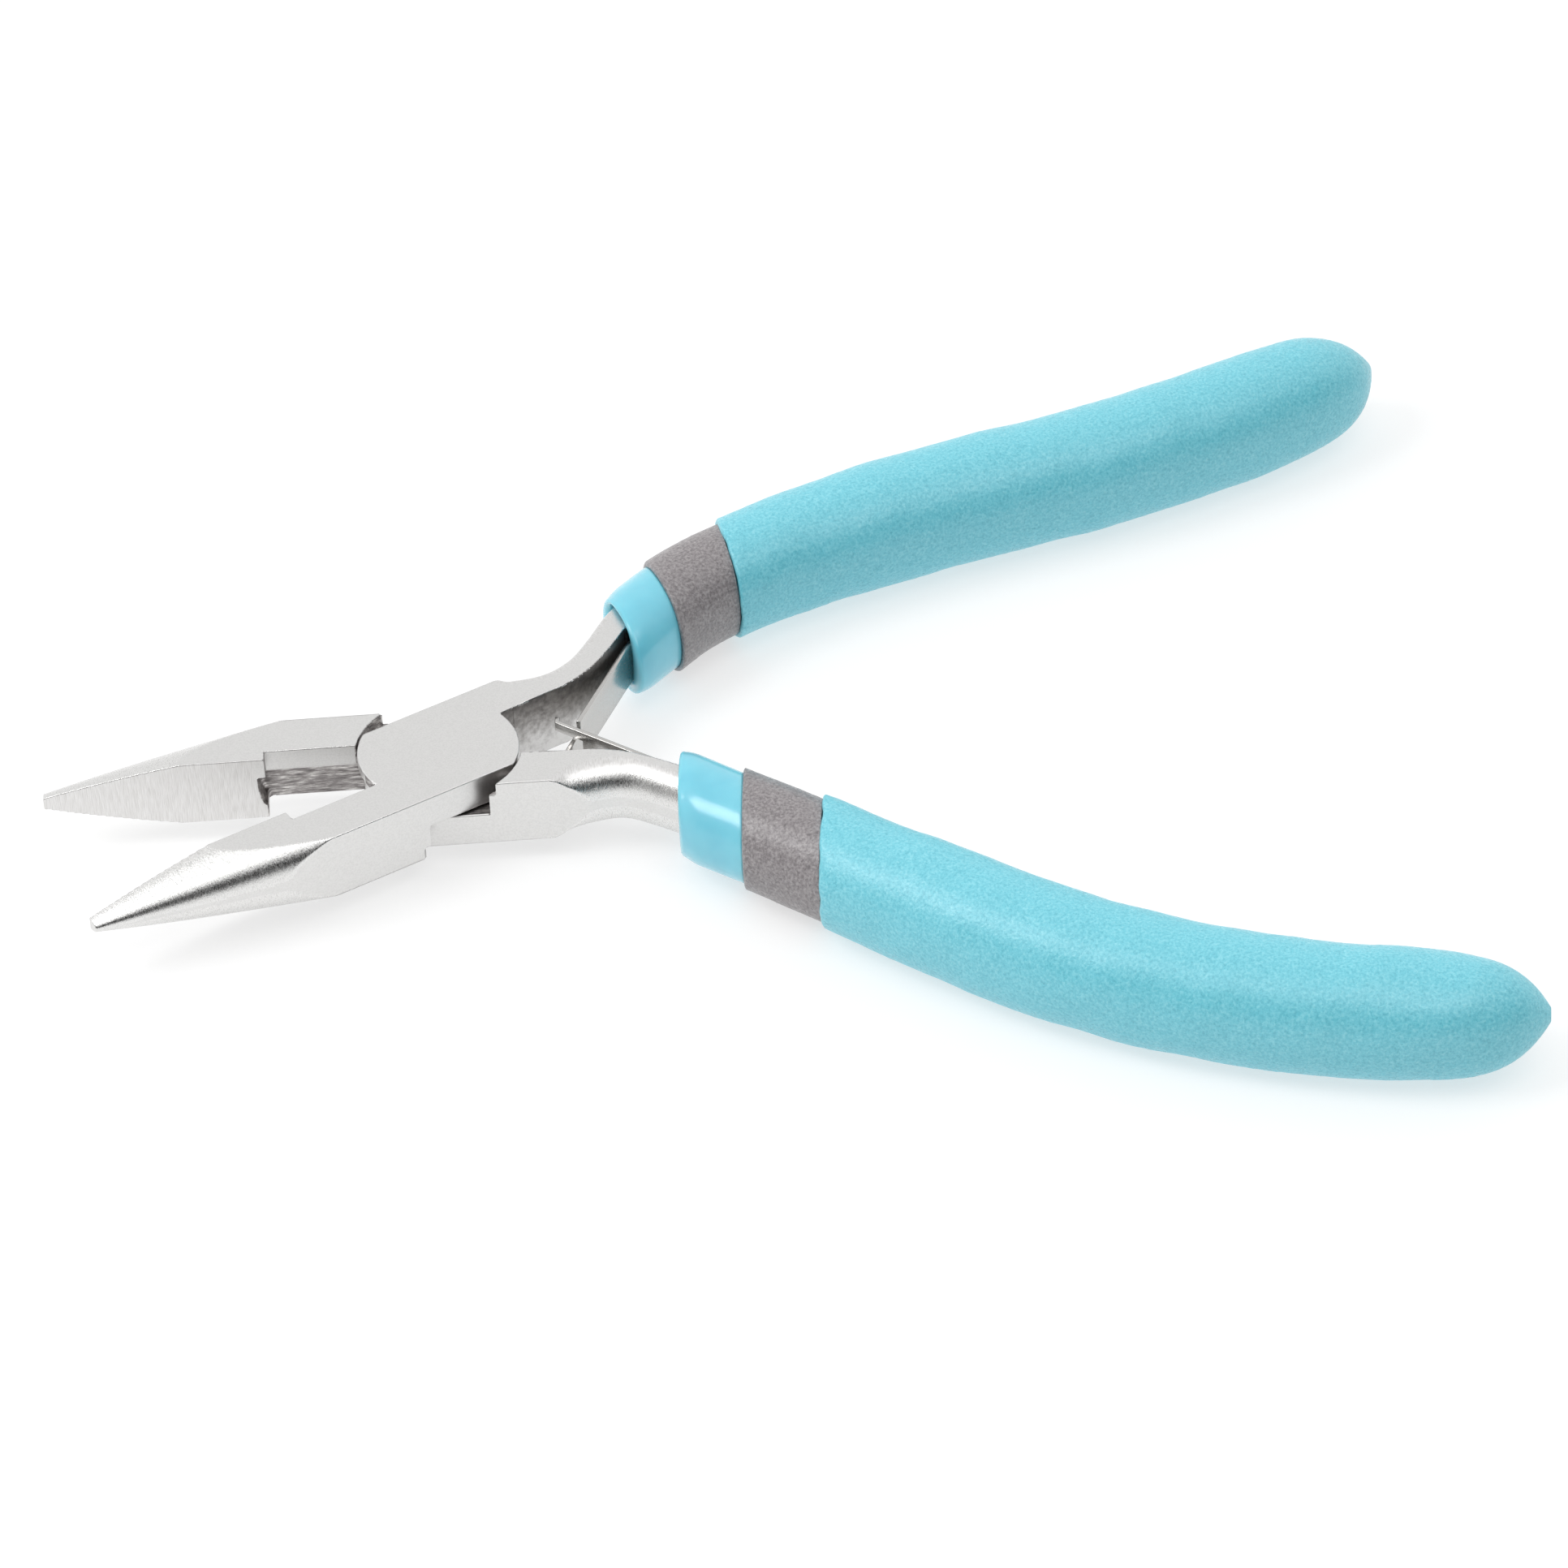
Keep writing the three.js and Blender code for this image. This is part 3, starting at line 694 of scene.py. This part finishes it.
def forged_wall_steel():
    """Inside the crotch and along the tangs: dull and pitted, with painted shade that darkens it towards the
    disc's outer face.
    """
    look = Look("steel_forged_wall_painted_shade", (0.5, 0.48, 0.47), 0.45, 1)
    # Painted shade: the colour darkens with drawn height, towards the disc's outer face; the mottle under it
    # is the steel's own tone.
    rise = look.spread(look.height(), -0.7 * HALF, HALF, 0.0, 0.3)
    mottle = look.noise(1.6, 4, roughness=0.6)
    gentle = look.spread(mottle, 0.3, 0.7, 0.44, 0.58)
    look.colors(look.minus(gentle, rise), [
        (0.12, (0.11, 0.10, 0.10)),
        (0.3, (0.36, 0.345, 0.335)),
        (0.5, (0.72, 0.71, 0.70)),
    ])
    look.rough(mottle, 0.35, 0.7, 0.5, 0.36)
    look.bump(mottle, 0.012, 0.7)
    look.bump(look.pits(1.6), 0.02, 0.35)
    return look.material


def spring_steel():
    """The leaves and their rivets: cold rolled strip with faint lines along it."""
    look = Look("spring_steel", (0.56, 0.55, 0.535), 0.24, 1)
    rolled = look.noise(2.4, 3, stretch=(1, 1, 7))
    look.rough(rolled, 0.3, 0.7, 0.17, 0.3)
    look.bump(rolled, 0.004, 0.5)
    return look.material


def gloss_vinyl():
    """The sleeves: dipped, slightly soft to light, under a glossy skin."""
    look = Look("gloss_vinyl", (0.11, 0.58, 0.76), 0.2)
    shader = look.shader
    shader.inputs["Coat Weight"].default_value = 0.6
    shader.inputs["Coat Roughness"].default_value = 0.26
    shader.inputs["Subsurface Weight"].default_value = 0.25
    shader.inputs["Subsurface Radius"].default_value = (0.3, 0.9, 1.0)
    shader.inputs["Subsurface Scale"].default_value = 1.2 * MM
    flow = look.noise(0.35, 2)
    look.colors(flow, [(0.3, (0.17, 0.60, 0.75)), (0.7, (0.20, 0.65, 0.79))])
    look.bump(look.noise(0.5, 2), 0.012, 0.3)
    return look.material


def foam(name, deep, body, pale):
    """Closed-cell foam: fine pits, a slow change of tone, and a dull shine on its skin."""
    look = Look(name, body, 0.3)
    grain = look.noise(3.6, 5, roughness=0.65)
    look.colors(grain, [(0.33, deep), (0.48, body), (0.66, pale)])
    look.rough(look.noise(1.7, 3), 0.3, 0.7, 0.24, 0.42)
    look.bump(look.noise(0.5, 2), 0.1, 0.35)
    look.bump(grain, 0.055, 0.75)
    look.bump(look.pits(2.6), 0.02, 0.5)
    look.shader.inputs["Specular IOR Level"].default_value = 0.68
    return look.material


# ---- Steel halves ------------------------------------------------------------------------------
STEEL_CELL = 0.17
NORMAL_STEP = 0.004
STEEL_LOW = (JAW_TIP_X - 0.6, -HEAD_HALF_WIDTH - 0.7, -HALF - 0.7)
STEEL_HIGH = (TANG_END_X + 0.6, 11.0, HALF + 0.7)
SATIN, POLISHED, GROUND, RECESS, FORGED_WALL = range(5)
# Where the finishes end, in millimetres, and how squarely a face must look along an axis (1 is fully).
FACE_MARGIN = 0.15
CAP_MARGIN = 0.12
EDGE_MARGIN = 0.3
GRIP_FACE_DEPTH = 0.5
RELIEF_DEPTH = 3.7
POLISH_END_X = JAW_BEND_X + 6
TANG_FINISH_X = TANG_START_X + 0.7
FLAT_TOP = 0.99
TOP_OF_FLANK = 0.8
UPRIGHT = 0.05
FACES_SIDE = 0.7
FACES_GRIP = 0.6
FACES_STRIP = 0.5
FACES_PIVOT = 0.3


def bar_rings(line):
    """The flat bar in which the tang ends, inside the grip."""
    front = np.linspace(BAR_START, BAR_TAPER, 10)
    rest = np.linspace(BAR_TAPER + 3, line.length - CORE_END, 26)
    distances = np.concatenate([front, rest])
    half_height = mix(HALF - 0.35, BAR_HALF_HEIGHT, smooth(distances / BAR_TAPER))
    return line.rings(distances, BAR_HALF_WIDTH, half_height, BAR_OFFSET, BAR_SQUARENESS, 32)


def steel_finish(drawn, normals):
    """The finish of each steel face: from where it is, in millimetres, and from its unit normal."""
    x, y, z = drawn.T
    along, outward, upward = normals.T
    radius = np.hypot(x, y)
    rim = DISC_RADIUS + SHOULDER_GAP + FACE_MARGIN
    between_caps = np.abs(z) < HALF - CAP_MARGIN
    outer_side = (np.abs(y) > HEAD_HALF_WIDTH - FACE_MARGIN) & (np.abs(outward) > FACES_SIDE)

    grip_face = (x < GRIP_REAR_X - 0.1) & (outward > FACES_GRIP) & (y > -GRIP_FACE_DEPTH)
    behind_grip = (x > GRIP_REAR_X - UNDERCUT_REACH - EDGE_MARGIN) & (x < 0)
    relief_wall = behind_grip & (y > -RELIEF_DEPTH) & (y < GRIP_FACE_DEPTH) & between_caps
    strip = relief_wall & (z < -RELIEF_RIDGE_Z + 0.1) & (outward > FACES_STRIP) & (radius > rim)

    turned_in = along * x + outward * y < FACES_PIVOT * radius
    joint_wall = (radius < rim) & between_caps & turned_in & ~outer_side
    inner, _ = inner_edge(x)
    beside_tang = (x > 0) & (y < inner + EDGE_MARGIN) & (radius > rim - EDGE_MARGIN)
    crotch = beside_tang & between_caps & ~outer_side

    curved = (np.abs(upward) < FLAT_TOP) & (np.abs(upward) > UPRIGHT)
    on_tang = x > TANG_FINISH_X
    finish = np.full(len(x), SATIN)
    finish[curved & ((x < POLISH_END_X) | on_tang)] = POLISHED
    finish[relief_wall | joint_wall] = RECESS
    # The crotch walls take the forged wall finish, which carries painted shade towards the disc's outer
    # face.
    finish[crotch] = FORGED_WALL
    finish[grip_face | (curved & on_tang & (np.abs(upward) > TOP_OF_FLANK))] = GROUND
    finish[strip] = SATIN
    return finish


def steel_half(name, line, relief, lower, looks):
    """The forging as one skin, shaded by its field's own slope, with a finish for each face."""
    def field(x, y, z):
        return steel_field(x, y, z, relief, lower)

    points, quads = surface_net(field, STEEL_LOW, STEEL_HIGH, STEEL_CELL)
    bar_points, bar_faces = skin(bar_rings(line))
    faces = [tuple(q) for q in quads]
    faces += [tuple(i + len(points) for i in f) for f in bar_faces]
    drawn = np.vstack([points, bar_points])
    piece = make_mesh(f"forged_half_{name}", drawn, faces, lower, looks, f"{name}_half",
                      (f"steel_half_{name}",))
    centres = drawn[quads].mean(1)
    across = np.cross(drawn[quads[:, 2]] - drawn[quads[:, 0]], drawn[quads[:, 3]] - drawn[quads[:, 1]])
    normals = across / np.maximum(np.linalg.norm(across, axis=1, keepdims=True), 1e-9)
    finish = np.zeros(len(faces), np.int32)
    finish[: len(quads)] = steel_finish(centres, normals)
    piece.data.polygons.foreach_set("material_index", finish)
    vertex_normals = np.empty((len(drawn), 3), np.float32)
    piece.data.vertices.foreach_get("normal", vertex_normals.ravel())
    vertex_normals[: len(points)] = facing(gradient(field, points, NORMAL_STEP), lower)
    piece.data.normals_split_custom_set_from_vertices(vertex_normals)
    return piece


def turned(profile, around=96):
    """Rings round the pivot axis from (radius, height) pairs."""
    angle = np.arange(around) / around * 2 * math.pi
    return np.array([
        np.stack([r * np.cos(angle), r * np.sin(angle), np.full(around, z)], -1) for r, z in profile
    ])


def pivot_rivet(looks):
    """Flush under the joint, with a broken edge round its head and a shallow dimple in it."""
    head = RIVET_HEAD_RADIUS
    shank = RIVET_RADIUS - RIVET_SHANK_FIT
    top = HALF - RIVET_COVER
    profile = [(radius, rise - HALF) for radius, rise in RIVET_DIMPLE]
    profile += [(head - RIVET_BEVEL, -HALF), (head, RIVET_BEVEL - HALF)]
    profile += [(head, RIVET_HEAD_DEPTH - HALF), (shank, RIVET_HEAD_DEPTH - HALF)]
    profile += [(shank, top - RIVET_TIP_BEVEL[1]), (RIVET_RADIUS - RIVET_TIP_BEVEL[0], top)]
    points, faces = skin(turned(profile))
    return make_mesh("flush_rivet", points, faces, False, looks, "upper_half",
                     ("pivot_rivet",))


# ---- Sleeves and foam --------------------------------------------------------------------------
RNG = np.random.default_rng(7)


def waves(count, shortest, longest, strength):
    """Slow bumps over distance and angle, from a few sines with random phases."""
    length = RNG.uniform(shortest, longest, count)
    turns = RNG.integers(0, 5, count)
    phase = RNG.uniform(0, 2 * math.pi, count)
    weight = RNG.uniform(0.5, 1, count) * strength / math.sqrt(count)

    def at(distance, angle):
        total = 0
        for a, b, c, w in zip(length, turns, phase, weight):
            total = total + w * np.sin(2 * math.pi * distance / a + b * angle + c)
        return total

    return at


def tube(name, line, stations, looks, lower, replaced, around, push=None, closed_loop=False):
    """A solid round the line through stations of (distance, half width, half height, offset, power)."""
    columns = np.array(stations, float).T
    rings = line.rings(columns[0], columns[1], columns[2], columns[3], columns[4], around, push)
    points, faces = skin(rings, closed_loop)
    body = "lower_half" if lower else "upper_half"
    return make_mesh(name, points, faces, lower, looks, body, replaced)


def round_station(distance, radius):
    """A nearly round station, centred on the line."""
    return (distance, radius, radius, 0, GRIP_SQUARENESS)


def pocket_stations(line):
    """The sleeve's pocket from its deep end to its mouth: round the bar, then open for the leaf."""
    round_bar = np.array(POCKET_ROUND_BAR)
    round_leaf = np.array(POCKET_ROUND_LEAF)
    at_mouth = np.array(POCKET_MOUTH)
    deep = np.linspace(line.length - CORE_END + 0.5, 16, 14)
    shallow = np.linspace(12, 0.5, 24)
    result = []
    for distance in np.concatenate([deep, shallow]):
        mouth = fade(distance, *POCKET_MOUTH_FADE)
        leaf = fade(distance, *POCKET_LEAF_FADE)
        half_width, offset, power = mix(round_bar, mix(round_leaf, at_mouth, mouth), leaf)
        half_height = mix(*POCKET_HALF_HEIGHTS, fade(distance, *POCKET_HEIGHT_FADE))
        result.append((distance, half_width, half_height, offset, power))
    return result


def lip_stations(lip, mouth, radius):
    """Round the sleeve's front edge, from the pocket's mouth to the outer skin."""
    skin_start = np.array(round_station(0, radius))
    result = []
    for turn in np.linspace(0.1, 0.9, 7) * math.pi:
        out = (1 - math.cos(turn)) / 2
        ahead = lip * (1 - math.sin(turn))
        result.append((ahead, *mix(np.array(mouth), skin_start, out)[1:]))
    return result


def sleeve(name, line, bands, lower, looks):
    """One skin: up the pocket, round the lip, back over the outside, and along a thin neck to its end."""
    pocket = pocket_stations(line)
    stations = pocket + lip_stations(SLEEVE_LIP, pocket[-1], SLEEVE_RADIUS - SLEEVE_LIP_FALL)
    for distance in np.linspace(SLEEVE_LIP, bands[0] + 0.05, 24):
        fall = SLEEVE_LIP_FALL * max(1 - (distance - SLEEVE_LIP) / SLEEVE_LIP_FADE, 0) ** 2
        stations.append(round_station(distance, SLEEVE_RADIUS - fall))
    end = line.length - SLEEVE_END
    for distance in np.concatenate([[bands[0] + 0.1], np.linspace(bands[0] + 3, end, 40)]):
        left = np.clip((end - distance) / SLEEVE_END_TAPER, 0, 1)
        tip = max(math.sqrt(left * (2 - left)), 0.3)
        stations.append(round_station(distance, SLEEVE_NECK_RADIUS * tip))
    gentle = waves(6, 8, 16, 0.02)
    return tube(f"vinyl_sleeve_{name}", line, stations, looks, lower,
                (f"handle_sleeve_{name}",), 120, lambda distance, angle: (0, gentle(distance, angle)))


def rounded_ends(start, end, radius, drops, along, count):
    """Distances and radii of a skin that falls by these drops, on rounded edges, at its two ends."""
    turns = np.linspace(math.pi / 2, 0, 6)
    result = [(start + along * (1 - math.sin(t)), radius - drops[0] * (1 - math.cos(t))) for t in turns]
    result += [(d, radius) for d in np.linspace(start + along, end - along, count)[1:-1]]
    result += [(end - along * (1 - math.sin(t)), radius - drops[1] * (1 - math.cos(t))) for t in turns[::-1]]
    return result


def foam_push(strength, edge_strength, edges, grain):
    """Lumps over the skin, wavy edges, and a grain as fine as the mesh."""
    lumps = waves(16, 5, 15, strength)
    ripple = waves(6, 40, 90, edge_strength)
    ripple_fine = waves(8, 20, 60, edge_strength * 0.5)

    def push(distance, angle):
        near_edge = sum(np.exp(-((distance - edge) / 0.9) ** 2) for edge in edges)
        doubled = angle[None, :] * 2
        along = near_edge * (ripple(distance, doubled) + ripple_fine(distance, doubled * 2.0))
        return along, lumps(distance, angle[None, :]) + RNG.normal(0, grain, (len(distance), len(angle)))

    return push


def foam_band(name, line, bands, lower, looks):
    """A ring on the sleeve's neck: its outside, then back along its bore."""
    start = bands[0] + BAND_FRONT_FIT
    end = bands[0] + bands[1] - BAND_REAR_FIT
    outside = rounded_ends(start, end, BAND_RADIUS, BAND_EDGE_DROPS, BAND_EDGE, 28)
    stations = [round_station(distance, radius) for distance, radius in outside]
    bore = np.linspace(end - 0.3, start + 0.3, 6)
    stations += [round_station(distance, SLEEVE_NECK_RADIUS + NECK_FIT) for distance in bore]
    push = foam_push(0.03, 0.015, (start, end), 0.009)
    return tube(f"grey_foam_band_{name}", line, stations, looks, lower,
                (f"foam_band_{name}",), 128, push, closed_loop=True)


def foam_grip(name, line, bands, lower, looks):
    """Out of its bore, round its front edge, and swelling back to a drawn-in end with a nub."""
    start = bands[0] + bands[1] + BAND_REAR_FIT
    bore = np.linspace(line.length - SLEEVE_END + 0.5, start + 0.4, 20)
    stations = [round_station(distance, SLEEVE_NECK_RADIUS + NECK_FIT) for distance in bore]
    drop = GRIP_START_RADIUS - BAND_RADIUS - 0.02
    for turn in np.linspace(math.pi / 2, 0, 7):
        ahead = GRIP_START_EDGE * (1 - math.sin(turn))
        stations.append(round_station(start + ahead, GRIP_START_RADIUS - drop * (1 - math.cos(turn))))
    for k in np.linspace(0, 1, 151)[1:]:
        distance = mix(start + GRIP_START_EDGE, line.length, 1 - (1 - k) ** 1.35)
        draw = 1 - math.exp(-(line.length - distance + GRIP_NUB) / GRIP_END_TAPER)
        swell = float(smooth((distance - start) / GRIP_SWELL_LENGTH))
        stations.append(round_station(distance, mix(GRIP_START_RADIUS, GRIP_RADIUS, swell) * draw))
    push = foam_push(0.065, 0.1, (start,), 0.011)
    return tube(f"turquoise_foam_grip_{name}", line, stations, looks, lower,
                (f"foam_grip_{name}",), 128, push)


# ---- Leaf springs ------------------------------------------------------------------------------
def leaf_path(line):
    """Plan points of the leaf's middle, from its tab inside the sleeve to its finger's lip."""
    tab = []
    for distance in np.linspace(*LEAF_TAB, 6):
        point, outward = line.along(np.array(distance))
        tab.append(point + outward * LEAF_TAB_OFFSET)
    bend = np.array(LEAF_BEND)
    lean = -np.array([math.cos(LEAF_ANGLE), math.sin(LEAF_ANGLE)])
    lip = -np.array([math.cos(LEAF_ANGLE + LEAF_LIP_TURN), math.sin(LEAF_ANGLE + LEAF_LIP_TURN)])
    soft = [bend + lean * d for d in np.linspace(0, LEAF_FULL_LENGTH, 12)]
    finger = [bend + lean * d for d in np.linspace(LEAF_FULL_LENGTH, LEAF_FINGER_LENGTH, 5)[1:]]
    end = [finger[-1] + lip * LEAF_LIP]
    return np.array(tab + soft + finger + end), len(tab) + len(soft) - 1


def leaf_spring(name, line, lower, finger, looks):
    """A strip whose columns are full height up to the finger, then only as high as the finger."""
    path, full_end = leaf_path(line)
    tangent = np.gradient(path, axis=0)
    tangent /= np.linalg.norm(tangent, axis=1, keepdims=True)
    across = np.stack([-tangent[:, 1], tangent[:, 0]], -1) * LEAF_THICKNESS / 2
    levels = sorted({-LEAF_HALF_HEIGHT, finger[0], finger[1], LEAF_HALF_HEIGHT})

    def filled(i, k):
        if not (0 <= i < len(path) - 1 and 0 <= k < len(levels) - 1):
            return False
        return i < full_end or (levels[k] >= finger[0] and levels[k + 1] <= finger[1])

    points, index = [], {}

    def corner(i, k, side):
        if (i, k, side) not in index:
            index[(i, k, side)] = len(points)
            plan = path[i] + across[i] * (1 if side else -1)
            points.append((plan[0], plan[1], levels[k]))
        return index[(i, k, side)]

    faces = []
    for i in range(len(path) - 1):
        for k in range(len(levels) - 1):
            if not filled(i, k):
                continue
            a, b, c, d = (i, k), (i + 1, k), (i + 1, k + 1), (i, k + 1)
            faces.append([corner(*p, 0) for p in (a, b, c, d)])
            faces.append([corner(*p, 1) for p in (d, c, b, a)])
            sides = (((i, k - 1), a, b), ((i + 1, k), b, c), ((i, k + 1), c, d), ((i - 1, k), d, a))
            for neighbour, p, q in sides:
                if not filled(*neighbour):
                    faces.append([corner(*q, 0), corner(*p, 0), corner(*p, 1), corner(*q, 1)])
    piece = make_mesh(f"crossing_leaf_{name}", points, faces, lower, looks, None,
                      (f"leaf_spring_{name}",), smooth_shading=False)
    round_edges(piece, LEAF_EDGE)
    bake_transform(piece)
    return piece


def round_edges(piece, width):
    """Bevels the piece's sharp edges by this many millimetres, and keeps the result."""
    bevel = piece.modifiers.new("edges", "BEVEL")
    bevel.width = width * MM
    bevel.segments = 2
    bevel.limit_method = "ANGLE"
    bevel.angle_limit = math.radians(40)
    bevel.use_clamp_overlap = True
    graph = bpy.context.evaluated_depsgraph_get()
    rounded = bpy.data.meshes.new_from_object(piece.evaluated_get(graph))
    piece.modifiers.clear()
    piece.data = rounded
    piece.data.set_sharp_from_angle(angle=math.radians(50))
    piece.data.polygons.foreach_set("use_smooth", np.ones(len(rounded.polygons), bool))


# ---- Assembly: the spring rivets are the frame's own, with the leaves' finish --------------------
upper_line = Line(UPPER_HANDLE, UPPER_CUT)
lower_line = Line(LOWER_HANDLE, LOWER_CUT)
steel_looks = [satin_steel(), polished_steel(), ground_steel(), recess_steel(), forged_wall_steel()]
spring_look = [spring_steel()]
vinyl_look = [gloss_vinyl()]
grey_look = [foam("grey_foam", (0.15, 0.135, 0.14), (0.245, 0.225, 0.232), (0.38, 0.355, 0.36))]
blue_look = [foam("turquoise_foam", (0.12, 0.50, 0.61), (0.17, 0.615, 0.73), (0.27, 0.72, 0.82))]

HALVES = (
    ("upper", upper_line, UPPER_BANDS, straight_relief, LEAF_WIDE_FINGER, False),
    ("lower", lower_line, LOWER_BANDS, sloped_relief, LEAF_NARROW_FINGER, True),
)
for half_name, half_line, half_bands, half_relief, half_finger, is_lower in HALVES:
    steel_half(half_name, half_line, half_relief, is_lower, steel_looks)
    leaf_spring(half_name, half_line, is_lower, half_finger, spring_look)
    sleeve(half_name, half_line, half_bands, is_lower, vinyl_look)
    band = foam_band(half_name, half_line, half_bands, is_lower, grey_look)
    grip = foam_grip(half_name, half_line, half_bands, is_lower, blue_look)
    rivet = frame["nodes"][f"spring_rivet_{half_name}"]
    rivet.data.materials.clear()
    rivet.data.materials.append(spring_look[0])
pivot_rivet([steel_looks[1]])


# ---- Floor, light and camera -------------------------------------------------------------------
FLOOR_HALF_SIZE = 6.0
FLOOR_DROP = 0.00002
CAMERA_TARGET = (29.7, -12.2, HALF)
CAMERA_DISTANCE = 0.6775
CAMERA_AZIMUTH = math.radians(15.94)
CAMERA_ELEVATION = math.radians(38.8)
CAMERA_ROLL = math.radians(-2.9)


def floor():
    """A pale sheet, just under the tool, that also glows a little."""
    size = FLOOR_HALF_SIZE
    z = cad_bounds[0][2] - FLOOR_DROP
    corners = [(-size, -size, z), (size, -size, z), (size, size, z), (-size, size, z)]
    mesh = bpy.data.meshes.new("floor")
    mesh.from_pydata(corners, [], [(0, 1, 2, 3)])
    plane = bpy.data.objects.new("floor", mesh)
    bpy.context.scene.collection.objects.link(plane)
    look = Look("pale_floor", (0.42, 0.42, 0.42), 0.75)
    look.shader.inputs["Specular IOR Level"].default_value = 0.1
    look.shader.inputs["Emission Color"].default_value = (1, 1, 1, 1)
    look.shader.inputs["Emission Strength"].default_value = 0.6
    mesh.materials.append(look.material)


def softbox(name, position, aim, width, height, power):
    """A rectangular lamp in metres and watts, aimed at a point."""
    data = bpy.data.lights.new(name, "AREA")
    data.shape = "RECTANGLE"
    data.size = width
    data.size_y = height
    data.energy = power
    light = bpy.data.objects.new(name, data)
    light.location = position
    light.rotation_euler = (Vector(aim) - Vector(position)).to_track_quat("-Z", "Y").to_euler()
    bpy.context.scene.collection.objects.link(light)


def studio_world():
    """A white sweep behind and above, and a dark room low in front, which the steel reflects."""
    world = bpy.data.worlds.new("studio")
    bpy.context.scene.world = world
    world.use_nodes = True
    nodes, links = world.node_tree.nodes, world.node_tree.links
    background = nodes["Background"]
    coordinates = nodes.new("ShaderNodeTexCoord")
    split = nodes.new("ShaderNodeSeparateXYZ")
    links.new(coordinates.outputs["Generated"], split.inputs["Vector"])

    def ramp(value, low, high, to_low, to_high):
        node = nodes.new("ShaderNodeMapRange")
        node.interpolation_type = "SMOOTHSTEP"
        for name, number in zip(RANGE_INPUTS, (low, high, to_low, to_high)):
            node.inputs[name].default_value = number
        links.new(value, node.inputs["Value"])
        return node.outputs["Result"]

    def join(kind, a, b):
        node = nodes.new("ShaderNodeMath")
        node.operation = kind
        links.new(a, node.inputs[0])
        links.new(b, node.inputs[1])
        return node.outputs["Value"]

    front = ramp(split.outputs["Y"], -0.42, -0.05, 0.82, 0.0)
    low = ramp(split.outputs["Z"], 0.7, 0.86, 1.0, 0.0)
    sweep = ramp(split.outputs["Y"], -0.3, 0.3, 0.84, 0.92)
    links.new(join("SUBTRACT", sweep, join("MULTIPLY", front, low)), background.inputs["Strength"])
    background.inputs["Color"].default_value = (1, 1, 1, 1)


def camera():
    """Long lens from the front left, above; target, distance and roll set the framing."""
    target = Vector(CAMERA_TARGET) * MM
    forward = Vector((math.sin(CAMERA_AZIMUTH) * math.cos(CAMERA_ELEVATION),
                      math.cos(CAMERA_AZIMUTH) * math.cos(CAMERA_ELEVATION),
                      -math.sin(CAMERA_ELEVATION)))
    data = bpy.data.cameras.new("camera")
    data.sensor_width = 36
    data.lens = 167.7
    data.clip_start = 0.01
    data.clip_end = 50
    eye = bpy.data.objects.new("camera", data)
    bpy.context.scene.collection.objects.link(eye)
    eye.location = target - forward * CAMERA_DISTANCE
    turn = forward.to_track_quat("-Z", "Y").to_matrix() @ Matrix.Rotation(CAMERA_ROLL, 3, "Z")
    eye.rotation_euler = turn.to_euler()
    bpy.context.scene.camera = eye


floor()
studio_world()
softbox("overhead", (0.08, -0.5, 0.9), (0.03, 0, 0), 0.8, 0.7, 3.0)
softbox("left_window", (-0.62, 0.08, 0.75), (0.02, -0.01, 0), 0.4, 0.42, 3.0)
camera()
bpy.context.scene.view_settings.view_transform = "Standard"
